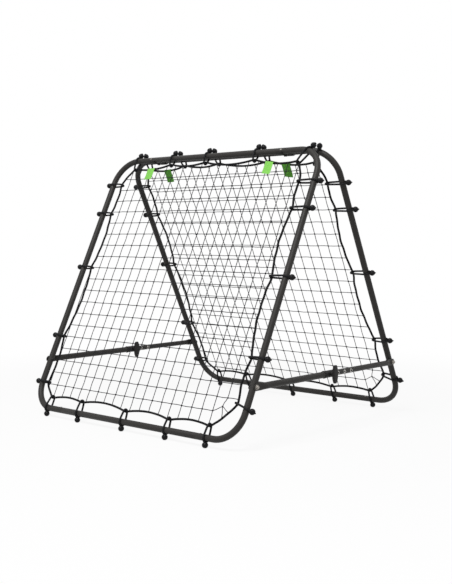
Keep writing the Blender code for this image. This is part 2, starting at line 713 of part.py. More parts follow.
def build_clip(name, hand, parent, material):
    """A moulded hinge clip that both top tubes lie in, with a tapered boss below."""
    x = hand * (JOINT_X - CLIP_INSET)
    outline = clip_outline()
    rings = [[Vector((x + dx, y, z)) for y, z in outline] for dx in (-CLIP_WIDTH / 2, CLIP_WIDTH / 2)]
    clip = make_object(name, loft(bmesh.new(), rings), parent, material)
    top = CLIP_WEB / 4
    boss = [(-CLIP_BOSS_DROP, 0.2 * CLIP_WIDTH), (-top, 0.45 * CLIP_WIDTH)]
    shape_with(clip, "UNION", name + "_boss", turned(boss, (x, 0.0, TOP_Z), (0, 0, 1), SMALL_SIDES))


def build_frame(name, side, parent, materials):
    """Tubes, net and bungees of one frame."""
    steel, net, bungee = materials
    build_side_tube(name + "_tube_left", side, LEFT, parent, steel)
    build_side_tube(name + "_tube_right", side, RIGHT, parent, steel)
    build_cross_tube(name + "_tube_bottom", side, 0.0, parent, steel)
    build_cross_tube(name + "_tube_top", side, SLOPE, parent, steel)
    build_net(name + "_net", side, parent, net)
    runs = {"bottom": BOTTOM_STATIONS, "top": TOP_STATIONS, "left": LEFT_STATIONS, "right": RIGHT_STATIONS}
    for edge, stations in runs.items():
        for k, station in enumerate(stations):
            build_bungee(f"{name}_bungee_{edge}_{k + 1}", side, edge, station, parent, bungee)


def build_bar(name, hand, parent, materials):
    """One spreader bar: outer tube, collar and knob on the front leg, inner tube on the rear leg."""
    steel, plastic = materials
    bar_x = hand * (HALF_WIDTH + BAR_OFFSET)
    swing = make_axis(name + "_pivot", (bar_x, -PIVOT_Y, PIVOT_Z), parent)
    slide = make_axis(name + "_slide", (bar_x, PIVOT_Y, PIVOT_Z), swing)
    turn = make_axis(name + "_knob_axis", (bar_x, knob_place(hand), PIVOT_Z), swing)
    build_outer_bar(name + "_outer", hand, bar_x, swing, steel)
    build_collar(name + "_collar", hand, bar_x, swing, plastic)
    build_inner_bar(name + "_inner", hand, bar_x, slide, steel)
    build_knob(name + "_knob", hand, bar_x, turn, plastic)


def main():
    """Build the whole rebounder."""
    clear_scene()
    steel = make_material("powder_coated_steel", (0.055, 0.053, 0.052), 0.45, 0.0)
    net = make_material("net_twine", (0.020, 0.020, 0.022), 0.85, 0.0)
    bungee = make_material("bungee_black", (0.016, 0.016, 0.017), 0.40, 0.0)
    plastic = make_material("black_plastic", (0.022, 0.022, 0.023), 0.50, 0.0)
    ground = make_axis("front_frame_origin", (0.0, 0.0, 0.0))
    fold = make_axis("fold_axis", (0.0, TOP_Y, TOP_Z), ground)
    build_frame("front", FRONT, ground, (steel, net, bungee))
    build_frame("rear", REAR, fold, (steel, net, bungee))
    for name, hand in (("left", LEFT), ("right", RIGHT)):
        build_clip(f"hinge_clip_{name}", hand, ground, plastic)
        build_bar(f"bar_{name}", hand, ground, (steel, plastic))


main()
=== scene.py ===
# %% [markdown]
# # A folding soccer rebounder
# Two flat frames of bent steel tube lean on each other like an A. A knotted net hangs in each frame on
# twenty ball bungees, and two telescopic bars hold the legs apart. The CAD model gives the sizes and the
# moving bodies. This lesson dresses it: smooth tubes, knotted twine, elastic, plastic and cloth.

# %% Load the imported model
import math
import random

import bmesh
import bpy
from mathutils import Matrix, Vector


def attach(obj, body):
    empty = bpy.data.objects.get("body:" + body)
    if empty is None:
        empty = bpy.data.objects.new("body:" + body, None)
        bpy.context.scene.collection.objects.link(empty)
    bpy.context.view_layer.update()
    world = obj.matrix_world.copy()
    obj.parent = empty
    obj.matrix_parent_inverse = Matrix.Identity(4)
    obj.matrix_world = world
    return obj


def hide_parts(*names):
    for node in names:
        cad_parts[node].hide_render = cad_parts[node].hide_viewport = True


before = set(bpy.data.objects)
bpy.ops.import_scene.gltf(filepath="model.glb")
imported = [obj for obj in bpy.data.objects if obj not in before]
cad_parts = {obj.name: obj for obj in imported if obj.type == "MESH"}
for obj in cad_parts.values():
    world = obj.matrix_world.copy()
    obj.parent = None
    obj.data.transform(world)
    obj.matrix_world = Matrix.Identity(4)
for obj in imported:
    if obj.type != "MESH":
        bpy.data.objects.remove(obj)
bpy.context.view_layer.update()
random.seed(7)

# %% [markdown]
# ## Sizes
# These are the sizes that the tubes, nets and bungees share with the CAD model. A frame is drawn standing
# upright first: x runs across it, z up its slope, and y through its thickness. It is then leaned into
# place, so every piece of it can be made square to the axes.

# %% Shared sizes, in metres
TUBE = 0.01025
HALF_WIDTH = 0.4755
FOOT_Y = 0.4505
TOP_Y = 0.0258
RISE = 0.881
CORNER = 0.092
STUB = 0.0655
TUBE_WALL = 0.001
SEAT = 0.0003
SLOPE = math.hypot(FOOT_Y - TOP_Y, RISE)
LEAN = math.asin((FOOT_Y - TOP_Y) / SLOPE)
BALL = 0.00975
BALL_REACH = TUBE + 0.0040 + BALL
FOOT_REACH = TUBE + 0.0017 + BALL
FOOT_SWING = math.radians(14)
TOP_SWING = math.radians(7)
FOOT_Z = BALL - 0.0009 + FOOT_REACH * math.cos(LEAN - FOOT_SWING)
TOP_Z = FOOT_Z + RISE
JOINT_X = HALF_WIDTH - CORNER - STUB
PIVOT_S = 0.174
PIVOT_Y = FOOT_Y - PIVOT_S * math.sin(LEAN)
PIVOT_Z = FOOT_Z + PIVOT_S * math.cos(LEAN)
INNER_BAR = 0.00915
INNER_WALL = 0.0010
OUTER_WALL = 0.0008
FLAT_THICK = 0.0026
FLAT_TALL = 0.0230
OUTER_LENGTH = {"left": 0.438, "right": 0.395}
INNER_LENGTH = 0.435
HOLE_PITCH = 0.037
HOLES = 4
KNOB_INSET = 0.026
LOCKED_HOLE = {"left": 1, "right": 0}
SIDES = {"front": -1, "rear": 1}
HANDS = {"left": -1, "right": 1}
BAR_X = {name: hand * (HALF_WIDTH + TUBE + SEAT + FLAT_THICK / 2) for name, hand in HANDS.items()}
KNOB_Y = {name: -PIVOT_Y + length - KNOB_INSET for name, length in OUTER_LENGTH.items()}
print(f"slope {SLOPE:.4f} m, lean {math.degrees(LEAN):.2f} degrees, hinge at z {TOP_Z:.4f} m")

# %% [markdown]
# ## Working by hand, in code
# An operator acts on whatever is selected, and the loaded nodes arrive selected. These helpers do what a
# hand would do: deselect all, pick one piece, extrude, spin and scale what is selected, and at the end put
# the piece's place into its mesh.


# %% Selecting and shaping
def deselect():
    """Leave edit mode and select nothing."""
    if bpy.context.object and bpy.context.object.mode != "OBJECT":
        bpy.ops.object.mode_set(mode="OBJECT")
    bpy.ops.object.select_all(action="DESELECT")


def pick(*pieces):
    """Select these pieces alone, the first one active."""
    deselect()
    for piece in pieces:
        piece.select_set(True)
    bpy.context.view_layer.objects.active = pieces[0]


def edit(piece, everything=True):
    """Enter edit mode on one piece with all or nothing selected."""
    pick(piece)
    bpy.ops.object.mode_set(mode="EDIT")
    bpy.ops.mesh.select_all(action="SELECT" if everything else "DESELECT")


def settle(piece):
    """Put the piece's place, turn and scale into its mesh."""
    pick(piece)
    bpy.ops.object.transform_apply(location=True, rotation=True, scale=True)
    return piece


def extrude(x, y, z):
    """Draw the selected edge loop out along a vector."""
    bpy.ops.mesh.extrude_edges_move(TRANSFORM_OT_translate={"value": (x, y, z)})


def resize(factors, centre):
    """Scale what is selected about a point."""
    bpy.ops.transform.resize(value=factors, center_override=centre)


def choose(piece, test):
    """In edit mode, select the vertices whose place passes a test."""
    bpy.ops.mesh.select_all(action="DESELECT")
    mesh = bmesh.from_edit_mesh(piece.data)
    for vert in mesh.verts:
        vert.select = bool(test(vert.co))
    mesh.select_flush(True)
    bmesh.update_edit_mesh(piece.data)


def outward(piece):
    """Merge doubles and turn all faces outwards."""
    edit(piece)
    bpy.ops.mesh.remove_doubles(threshold=1e-6)
    bpy.ops.mesh.normals_make_consistent(inside=False)
    deselect()


def smooth(piece, degrees=35.0):
    """Shade the piece smooth, with sharp edges kept where faces meet at more than this angle."""
    pick(piece)
    bpy.ops.object.shade_smooth_by_angle(angle=math.radians(degrees))
    deselect()
    return piece


def apply_modifier(piece, kind, **values):
    """Add one modifier, set it and apply it."""
    pick(piece)
    step = piece.modifiers.new(kind.title(), kind)
    for name, value in values.items():
        setattr(step, name, value)
    bpy.ops.object.modifier_apply(modifier=step.name)


def discard(*pieces):
    """Remove tools and patterns that have done their work."""
    for piece in pieces:
        bpy.data.objects.remove(piece, do_unlink=True)


def cut(piece, cutter, operation="DIFFERENCE"):
    """Cut, join or trim the piece with another solid, which is then removed."""
    apply_modifier(piece, "BOOLEAN", object=cutter, operation=operation, solver="EXACT")
    discard(cutter)


def new_object(name, data):
    """An object in the scene for a mesh, a lamp or a camera."""
    thing = bpy.data.objects.new(name, data)
    bpy.context.scene.collection.objects.link(thing)
    return thing


def copy_of(piece, name):
    """A copy with a mesh of its own."""
    return new_object(name, piece.data.copy())


def join(name, *pieces):
    """Make several meshes one piece."""
    pick(*pieces)
    bpy.ops.object.join()
    pieces[0].name = name
    deselect()
    return pieces[0]


def empty_piece(name):
    """A piece without vertices, in edit mode, and the mesh to draw in."""
    bpy.ops.mesh.primitive_plane_add(size=1)
    piece = bpy.context.object
    piece.name = name
    edit(piece)
    bpy.ops.mesh.delete(type="VERT")
    return piece, bmesh.from_edit_mesh(piece.data)


def mesh_piece(name, build, *materials):
    """Turn a finished bmesh into a piece."""
    mesh = bpy.data.meshes.new(name)
    build.to_mesh(mesh)
    build.free()
    for material in materials:
        mesh.materials.append(material)
    return new_object(name, mesh)


def open_ring(name, radius, sides, place, turn):
    """A ring of edges at its place, in edit mode, to extrude a tube from."""
    bpy.ops.mesh.primitive_circle_add(vertices=sides, radius=radius, location=place, rotation=turn)
    piece = settle(bpy.context.object)
    piece.name = name
    edit(piece)
    return piece


def rod(radius, depth, place, axis="X", sides=24):
    """A solid rod about a place, along X or Y. With six sides it is a hexagon."""
    turn = (0, math.pi / 2, 0) if axis == "X" else (math.pi / 2, 0, 0)
    bpy.ops.mesh.primitive_cylinder_add(vertices=sides, radius=radius, depth=depth, location=place,
                                        rotation=turn)
    return settle(bpy.context.object)


def finish(piece, material, degrees=35.0):
    """Give the whole piece one finish and smooth it."""
    piece.data.materials.clear()
    piece.data.materials.append(material)
    return smooth(piece, degrees)


def fit(piece, body, node=None):
    """Let the piece ride on its body, in place of the CAD model's node where it has one."""
    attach(piece, body)
    if node:
        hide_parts(node)


def lean(piece, side):
    """Lean an upright piece into the front or rear frame's plane."""
    piece.rotation_euler = (side * LEAN, 0.0, 0.0)
    piece.location = (0.0, side * FOOT_Y, FOOT_Z)
    return settle(piece)


# %% [markdown]
# ## Finishes
# Nearly everything here is black or dark grey, so the pieces are told apart by their surface, not by their
# colour: an orange-peel powder coat, fine moulded grain, twisted twine, braided cord, woven elastic.
# Two effects are used by several materials, so each is a node group with values of its own: a speckle
# that changes colour and roughness a little, and a thread pattern that follows a cord's own UV map.


# %% Node helpers
def new_group(name, inputs, outputs):
    """A shader node group with named number sockets."""
    group = bpy.data.node_groups.new(name, "ShaderNodeTree")
    for label, value in inputs.items():
        socket = group.interface.new_socket(name=label, in_out="INPUT", socket_type="NodeSocketFloat")
        socket.default_value = value
    for label in outputs:
        group.interface.new_socket(name=label, in_out="OUTPUT", socket_type="NodeSocketFloat")
    return group, group.nodes.new("NodeGroupInput"), group.nodes.new("NodeGroupOutput")


def add(tree, kind, **values):
    """A node with its own settings."""
    node = tree.nodes.new(kind)
    for name, value in values.items():
        setattr(node, name, value)
    return node


def set_inputs(node, **values):
    """Give a node's inputs plain values; underscores stand for spaces."""
    for name, value in values.items():
        node.inputs[name.replace("_", " ")].default_value = value
    return node


def math_node(tree, operation, *inputs):
    """A Math node fed by sockets or plain numbers."""
    node = add(tree, "ShaderNodeMath", operation=operation)
    for k, value in enumerate(inputs):
        if isinstance(value, (int, float)):
            node.inputs[k].default_value = value
        else:
            tree.links.new(value, node.inputs[k])
    return node.outputs[0]


def blend_colours(tree, factor, first, second):
    """A colour mix of two plain colours or sockets."""
    node = add(tree, "ShaderNodeMix", data_type="RGBA")
    tree.links.new(factor, node.inputs["Factor"])
    for socket, value in ((node.inputs[6], first), (node.inputs[7], second)):
        if isinstance(value, tuple):
            socket.default_value = (*value, 1.0)
        else:
            tree.links.new(value, socket)
    return node.outputs[2]


# %% The speckle group
def speckle_group():
    """Coarse patches, fine specks and a height, from Object coordinates."""
    group, entry, exit_ = new_group("speckle", {"Fine Scale": 900.0, "Patch Scale": 14.0},
                                    ("Patches", "Specks", "Height"))
    place = add(group, "ShaderNodeTexCoord")
    patches = add(group, "ShaderNodeTexNoise")
    fine = add(group, "ShaderNodeTexNoise")
    for node, label, detail in ((patches, "Patch Scale", 4.0), (fine, "Fine Scale", 2.0)):
        group.links.new(place.outputs["Object"], node.inputs["Vector"])
        group.links.new(entry.outputs[label], node.inputs["Scale"])
        node.inputs["Detail"].default_value = detail
    specks = set_inputs(add(group, "ShaderNodeMapRange"), From_Min=0.52, From_Max=0.72)
    group.links.new(fine.outputs["Fac"], specks.inputs["Value"])
    group.links.new(patches.outputs["Fac"], exit_.inputs["Patches"])
    group.links.new(specks.outputs["Result"], exit_.inputs["Specks"])
    group.links.new(fine.outputs["Fac"], exit_.inputs["Height"])
    return group


SPECKLE = speckle_group()


# %% The thread group
def thread_group():
    """Diagonal threads round a cord: u runs along it in metres, v once round it."""
    group, entry, exit_ = new_group("threads", {"Lay Length": 0.006, "Strands": 3.0, "Crossing": 0.0},
                                    ("Height", "Fleck"))
    uv = add(group, "ShaderNodeUVMap", uv_map="cord")
    split = add(group, "ShaderNodeSeparateXYZ")
    group.links.new(uv.outputs["UV"], split.inputs["Vector"])
    along = math_node(group, "DIVIDE", split.outputs["X"], entry.outputs["Lay Length"])
    round_it = math_node(group, "MULTIPLY", split.outputs["Y"], entry.outputs["Strands"])
    waves = []
    for operation in ("ADD", "SUBTRACT"):
        turns = math_node(group, operation, along, round_it)
        wave = math_node(group, "SINE", math_node(group, "MULTIPLY", turns, 2 * math.pi))
        waves.append(math_node(group, "MULTIPLY_ADD", wave, 0.5, 0.5))
    both = math_node(group, "MULTIPLY", waves[0], waves[1])
    mix = add(group, "ShaderNodeMix", data_type="FLOAT")
    group.links.new(entry.outputs["Crossing"], mix.inputs["Factor"])
    group.links.new(waves[0], mix.inputs[2])
    group.links.new(both, mix.inputs[3])
    group.links.new(mix.outputs[0], exit_.inputs["Height"])
    group.links.new(both, exit_.inputs["Fleck"])
    return group


THREADS = thread_group()


# %% [markdown]
# ### From groups to materials
# A material places the groups, feeds Base Color, Roughness and a Bump, and keeps all plain numbers on the
# shader itself. Bump distance is the real depth of the texture, a few hundredths of a millimetre.


# %% Material helpers
def start_material(name, roughness, metallic=0.0, specular=0.5):
    """A material with its Principled shader and its tree."""
    material = bpy.data.materials.new(name)
    material.use_nodes = True
    tree = material.node_tree
    shader = tree.nodes["Principled BSDF"]
    set_inputs(shader, Roughness=roughness, Metallic=metallic, Specular_IOR_Level=specular)
    return material, tree, shader


def place_group(tree, group, **values):
    """Put a group in a tree with its own values."""
    return set_inputs(add(tree, "ShaderNodeGroup", node_tree=group), **values)


def bump(tree, shader, height, distance):
    """Feed a height into the shader's normal."""
    node = set_inputs(add(tree, "ShaderNodeBump"), Strength=1.0, Distance=distance)
    tree.links.new(height, node.inputs["Height"])
    tree.links.new(node.outputs["Normal"], shader.inputs["Normal"])


def speckled(name, base, light, rough_low, rough_high, depth, fine, patch=14.0, metallic=0.0, specular=0.2):
    """A coated or moulded surface: patches shift the colour, specks lift it, fine grain bumps it."""
    material, tree, shader = start_material(name, rough_low, metallic, specular)
    grain = place_group(tree, SPECKLE, Fine_Scale=fine, Patch_Scale=patch)
    dark = tuple(0.8 * channel for channel in base)
    ground = blend_colours(tree, grain.outputs["Patches"], dark, base)
    specks = math_node(tree, "MULTIPLY", grain.outputs["Specks"], 0.55)
    tree.links.new(blend_colours(tree, specks, ground, light), shader.inputs["Base Color"])
    rough = math_node(tree, "MULTIPLY_ADD", grain.outputs["Patches"], rough_high - rough_low, rough_low)
    tree.links.new(rough, shader.inputs["Roughness"])
    bump(tree, shader, grain.outputs["Height"], depth)
    return material


def threaded(name, base, fleck, lay, strands, crossing, depth, roughness):
    """A cord's surface: threads laid round it, with lighter flecks where they cross."""
    material, tree, shader = start_material(name, roughness, specular=0.1)
    threads = place_group(tree, THREADS, Lay_Length=lay, Strands=strands, Crossing=crossing)
    grain = place_group(tree, SPECKLE, Fine_Scale=700.0, Patch_Scale=40.0)
    shade = math_node(tree, "MULTIPLY", threads.outputs["Fleck"], grain.outputs["Patches"])
    tree.links.new(blend_colours(tree, shade, base, fleck), shader.inputs["Base Color"])
    bump(tree, shader, threads.outputs["Height"], depth)
    return material


# %% The finishes
COAT = speckled("powder_coat", (0.030, 0.028, 0.026), (0.072, 0.068, 0.063), 0.40, 0.54, 0.00012, 850.0)
BLACKED = speckled("black_oxide", (0.014, 0.014, 0.014), (0.030, 0.030, 0.030), 0.34, 0.46, 0.00004, 700.0)
MOULDED = speckled("moulded_plastic", (0.018, 0.017, 0.017), (0.034, 0.033, 0.032), 0.45, 0.60,
                   0.00006, 1500.0)
BALL_PLASTIC = speckled("ball_plastic", (0.008, 0.008, 0.009), (0.016, 0.016, 0.017), 0.30, 0.42,
                        0.00002, 900.0, specular=0.12)
METAL = {"depth": 0.00003, "fine": 600.0, "patch": 60.0, "metallic": 1.0, "specular": 0.5}
ZINC = speckled("zinc_plate", (0.36, 0.34, 0.31), (0.56, 0.54, 0.50), 0.36, 0.52, **METAL)
BARE_STEEL = speckled("bare_steel", (0.66, 0.64, 0.61), (0.84, 0.82, 0.79), 0.26, 0.40, **METAL)
TWINE = threaded("net_twine", (0.020, 0.020, 0.023), (0.060, 0.060, 0.068), 0.0045, 2.0, 0.0, 0.00025, 0.75)
BORDER = threaded("border_cord", (0.006, 0.006, 0.007), (0.020, 0.020, 0.021), 0.0060, 4.0, 1.0,
                  0.00030, 0.66)
ELASTIC = threaded("elastic_sheath", (0.009, 0.009, 0.010), (0.075, 0.075, 0.078), 0.0042, 3.0, 1.0,
                   0.00025, 0.66)
FINISHES = (COAT, BLACKED, MOULDED, BALL_PLASTIC, ZINC, BARE_STEEL, TWINE, BORDER, ELASTIC)
print("finishes:", [material.name for material in FINISHES])

# %% [markdown]
# ## The bent side tubes
# A side tube is one length of 20.5 mm tube with a bend at each end, so it is drawn the way it is bent: a ring
# is extruded along the lower stub, spun through a quarter turn, extruded up the leg, spun again and
# extruded along the upper stub. Solidify then gives the 1 mm wall. One tube of each hand is modelled, and
# copied for the second frame.


# %% Bend a tube
def bent_tube(name, hand):
    """A C-shaped tube, drawn upright in the plane y = 0."""
    tube = open_ring(name, TUBE, 28, (hand * (JOINT_X + SEAT / 2), 0, 0), (0, math.pi / 2, 0))
    stub = hand * (STUB - SEAT / 2)
    for centre_s, before in ((CORNER, (stub, 0, 0)), (SLOPE - CORNER, (0, 0, SLOPE - 2 * CORNER))):
        extrude(*before)
        bpy.ops.mesh.spin(steps=14, angle=math.radians(90 * hand), axis=(0, 1, 0),
                          center=(hand * (HALF_WIDTH - CORNER), 0, centre_s))
    extrude(-stub, 0, 0)
    outward(tube)
    apply_modifier(tube, "SOLIDIFY", thickness=TUBE_WALL, offset=-1.0)
    return finish(tube, COAT)


for hand_name, hand in HANDS.items():
    pattern = bent_tube("pattern_" + hand_name, hand)
    for side_name, side in SIDES.items():
        tube = lean(copy_of(pattern, f"{side_name}_leg_tube_{hand_name}"), side)
        fit(tube, side_name + "_frame", f"{side_name}_tube_{hand_name}")
    print(hand_name, "tube spans x", [round(pattern.bound_box[k][0], 4) for k in (0, 6)])
    discard(pattern)

# %% [markdown]
# ## The straight cross tubes
# The top and bottom tubes are turned shapes: full width between the joints, then a shoulder and a swaged
# end that plugs into the side tube. A half profile spun round its own axis gives shoulder, end and bore
# in one go, and the same lathe helper serves the balls, bolts, collars and screws.


# %% A lathe
TURNS = {"X": (0, 0, 0), "Y": (0, 0, math.pi / 2), "Z": (0, -math.pi / 2, 0), "-X": (0, 0, math.pi),
         "-Y": (0, 0, -math.pi / 2)}


def stand_on(piece, place, axis):
    """Turn a piece that is drawn along X to another axis and put it in its place."""
    piece.rotation_euler = TURNS[axis]
    piece.location = place
    return settle(piece)


def lathe(name, profile, centre=(0, 0, 0), axis="X", steps=28, closed=False):
    """Spin a profile of (distance along the axis, radius) points about the axis through centre."""
    piece, mesh = empty_piece(name)
    points = [mesh.verts.new((distance, 0, radius)) for distance, radius in profile]
    pairs = list(zip(points, points[1:])) + ([(points[-1], points[0])] if closed else [])
    for first, second in pairs:
        mesh.edges.new((first, second))
    bmesh.update_edit_mesh(piece.data)
    bpy.ops.mesh.select_all(action="SELECT")
    bpy.ops.mesh.spin(steps=steps, angle=2 * math.pi, center=(0, 0, 0), axis=(1, 0, 0))
    outward(piece)
    return stand_on(piece, centre, axis)


# %% Turn the cross tubes
SWAGED_END = 0.040


def cross_tube(name, s):
    """A straight tube with swaged ends, drawn upright at height s."""
    end, shoulder, plug = JOINT_X + SWAGED_END, JOINT_X - SEAT / 2, TUBE - TUBE_WALL - SEAT
    profile = [(-end, plug), (-shoulder - 0.003, plug), (-shoulder, TUBE - 0.0002),
               (-shoulder + 0.0004, TUBE)]
    profile += [(-x, r) for x, r in reversed(profile)]
    profile += [(end, plug - TUBE_WALL), (-end, plug - TUBE_WALL)]
    return finish(lathe(name, profile, (0, 0, s), closed=True), COAT)


for side_name, side in SIDES.items():
    for edge, s in (("bottom", 0.0), ("top", SLOPE)):
        tube = lean(cross_tube(f"{side_name}_cross_tube_{edge}", s), side)
        fit(tube, side_name + "_frame", f"{side_name}_tube_{edge}")
print("cross tube length", round(2 * JOINT_X, 3), "m between the joints")

# %% [markdown]
# ## Bolts and screws
# Each bar turns on a bolt through the leg: a black domed head on the leg's inner side, and a washer and a
# zinc-plated lock nut beyond the bar's flat end on the outer side. A small pan-head screw keeps each tube
# joint together.


# %% A bolt, a nut and a joint screw
def socket_head(name, radius, height, socket, centre, axis):
    """A domed head with a hexagonal socket, standing on centre."""
    profile = [(0, 0), (0, radius), (0.35 * height, radius), (0.7 * height, 0.86 * radius),
               (0.93 * height, 0.6 * radius), (height, 0.3 * radius), (height, 0)]
    head = lathe(name, profile, steps=24)
    cut(head, rod(socket, height, (height, 0, 0), sides=6))
    return stand_on(head, centre, axis)


def pivot_bolt(name, hand, side):
    """Black head and shank of one bar pivot, and its zinc washer, nut and thread end."""
    place = (hand * HALF_WIDTH, side * PIVOT_Y, PIVOT_Z)
    out = "X" if hand > 0 else "-X"
    plate = TUBE + SEAT + FLAT_THICK + SEAT
    dome = ((-0.0046, 0), (-0.0046, 0.0024), (-0.0040, 0.0046), (-0.0024, 0.0066), (-0.0006, 0.0073),
            (0.0010, 0.0073), (0.0010, 0.0039))
    head = lathe(name, [(x - TUBE, r) for x, r in dome] + [(plate, 0.0039), (plate, 0)], place, out, 24)
    washer = lathe(name + "_nut", [(plate, 0.0040), (plate, 0.0072), (plate + 0.0007, 0.0074),
                                   (plate + 0.0009, 0.0071), (plate + 0.0009, 0.0040)],
                   place, out, closed=True)
    thread = lathe(name + "_thread", [(plate, 0), (plate, 0.0036), (plate + 0.0070, 0.0036),
                                      (plate + 0.0078, 0.0029), (plate + 0.0078, 0)], place, out, 20)
    nut = rod(0.0062, 0.0042, (place[0] + hand * (plate + 0.0030), place[1], place[2]), sides=6)
    apply_modifier(nut, "BEVEL", width=0.0006, segments=2, limit_method="ANGLE")
    nut = join(name + "_nut", washer, thread, nut)
    return finish(head, BLACKED), finish(nut, ZINC)


for side_name, side in SIDES.items():
    for hand_name, hand in HANDS.items():
        head, nut = pivot_bolt(f"{side_name}_pivot_bolt_{hand_name}", hand, side)
        fit(head, side_name + "_frame")
        fit(nut, side_name + "_frame")


SUNK = 0.0003
SCREW_PLACES = ((JOINT_X + 0.012, 0, TUBE - SUNK, "Z"), (JOINT_X - 0.011, SUNK - TUBE, SLOPE, "-Y"))


def joint_screws(name, side):
    """The four small screws that hold one frame's plugged joints."""
    screws = join(name, *[socket_head(name, 0.0030, 0.0016, 0.0011, (hand * x, y, s), out)
                          for hand in HANDS.values() for x, y, s, out in SCREW_PLACES])
    if side > 0:
        screws.rotation_euler = (0, 0, math.pi)
        settle(screws)
    return finish(lean(screws, side), ZINC)


for side_name, side in SIDES.items():
    fit(joint_screws(side_name + "_joint_screws", side), side_name + "_frame")
print("bolts: 4, joint screws: 8")

# %% [markdown]
# ## Hinge clips
# Both top tubes lie in two moulded clips, which let the frames swing like a book. A clip is one profile
# pushed out along the tubes: two open saddles joined by a web. Its outline is drawn from arcs, filled,
# extruded, and every long edge is bevelled as a moulding would be.


# %% Draw and extrude a clip
def arc(centre, radius, start, stop, step=9.0):
    """Points of an arc in the (y, z) plane, angles in degrees."""
    steps = max(1, round(abs(stop - start) / step))
    angles = [math.radians(start + (stop - start) * k / steps) for k in range(steps + 1)]
    return [(centre[0] + radius * math.cos(a), centre[1] + radius * math.sin(a)) for a in angles]


CLIP_WIDTH, CLIP_WALL, CLIP_INSET = 0.026, 0.003, 0.018


def hinge_clip(name, hand):
    """A saddle clip with a tapered boss below."""
    inner, outer = TUBE + SEAT, TUBE + SEAT + CLIP_WALL
    web = math.degrees(math.asin(CLIP_WALL / outer))
    front, rear = (-TOP_Y, TOP_Z), (TOP_Y, TOP_Z)
    outline = arc(front, outer, 200, 360 - web) + arc(rear, outer, 180 + web, 340)
    outline += arc(rear, inner, 340, 140) + arc(rear, outer, 140, 180 - web)
    outline += arc(front, outer, web, 40) + arc(front, inner, 40, -160)
    x = hand * (JOINT_X - CLIP_INSET)
    clip, mesh = empty_piece(name)
    mesh.faces.new([mesh.verts.new((x - CLIP_WIDTH / 2, y, z)) for y, z in outline])
    bmesh.update_edit_mesh(clip.data)
    bpy.ops.mesh.select_all(action="SELECT")
    bpy.ops.mesh.extrude_region_move(TRANSFORM_OT_translate={"value": (CLIP_WIDTH, 0, 0)})
    outward(clip)
    boss = lathe(name + "_boss", [(-0.0165, 0), (-0.0165, 0.0048), (-0.0158, 0.0054), (-0.0015, 0.0112),
                                  (-0.0015, 0)], (x, 0, TOP_Z), axis="Z", steps=24)
    cut(clip, boss, "UNION")
    apply_modifier(clip, "BEVEL", width=0.0005, segments=2, limit_method="ANGLE",
                   angle_limit=math.radians(50))
    return finish(clip, MOULDED, 40)


for hand_name, hand in HANDS.items():
    clip = hinge_clip("saddle_clip_" + hand_name, hand)
    fit(clip, "front_frame", "hinge_clip_" + hand_name)

# %% [markdown]
# ## Spreader bars
# A bar is two tubes that slide in one another. Each has its outer end pressed flat, rounded and drilled for
# the pivot bolt. The press is copied here: a ring is extruded towards the pivot while it is scaled thin
# across and tall, at distances from the pivot that each have their share of the full press, then drawn in
# for the round end. Solidify gives the wall, and Boolean drills the holes.


# %% Press and drill a bar tube
TAPER_START = 0.042
PRESSED = ((0.038, 0.06), (0.033, 0.30), (0.028, 0.62), (0.023, 0.88), (0.0195, 1.0))
FRONT_BORE, REAR_BORE, ADJUST_BORE = 0.0043, 0.0046, 0.0042
THROUGH_FLAT, THROUGH_TUBE = 0.008, 0.03
RIM_PROUD = 0.00022


def bar_tube(name, bar_x, pivot_y, toward, length, radius, wall):
    """A bar tube from its open end to its flat, round end, drawn from section to section."""
    width = 2 * radius
    sections = [(length, width, width), (TAPER_START, width, width)]
    sections += [(stop, width + (FLAT_THICK - width) * share, width + (FLAT_TALL - width) * share)
                 for stop, share in PRESSED]
    sections += [(-FLAT_TALL / 2 * math.sin(a), FLAT_THICK, FLAT_TALL * math.cos(a))
                 for a in map(math.radians, range(0, 88, 12))]
    bar = open_ring(name, radius, 32, (bar_x, pivot_y + toward * length, PIVOT_Z), (math.pi / 2, 0, 0))
    for (here, thick, tall), (stop, thin, high) in zip(sections, sections[1:]):
        extrude(0, toward * (stop - here), 0)
        resize((thin / thick, 1, high / tall), (bar_x, pivot_y + toward * stop, PIVOT_Z))
    bpy.ops.mesh.edge_face_add()
    outward(bar)
    apply_modifier(bar, "SOLIDIFY", thickness=wall, offset=-1.0)
    bar.data.materials.append(COAT)
    return bar


def drill(piece, x, y, radius, depth):
    """Drill a hole along X at bar height."""
    cut(piece, rod(radius, depth, (x, y, PIVOT_Z)))


def eyelet(name, bar_x, y):
    """The bare metal rim of an adjusting hole, shaped to the round of the tube."""
    rim = lathe(name, [(0.0055, 0.0041), (0.0055, 0.0059), (0.0120, 0.0059), (0.0120, 0.0041)],
                (bar_x, y, PIVOT_Z), steps=24, closed=True)
    cut(rim, rod(INNER_BAR + RIM_PROUD, THROUGH_TUBE, (bar_x, y, PIVOT_Z), "Y", 48), "INTERSECT")
    return rim


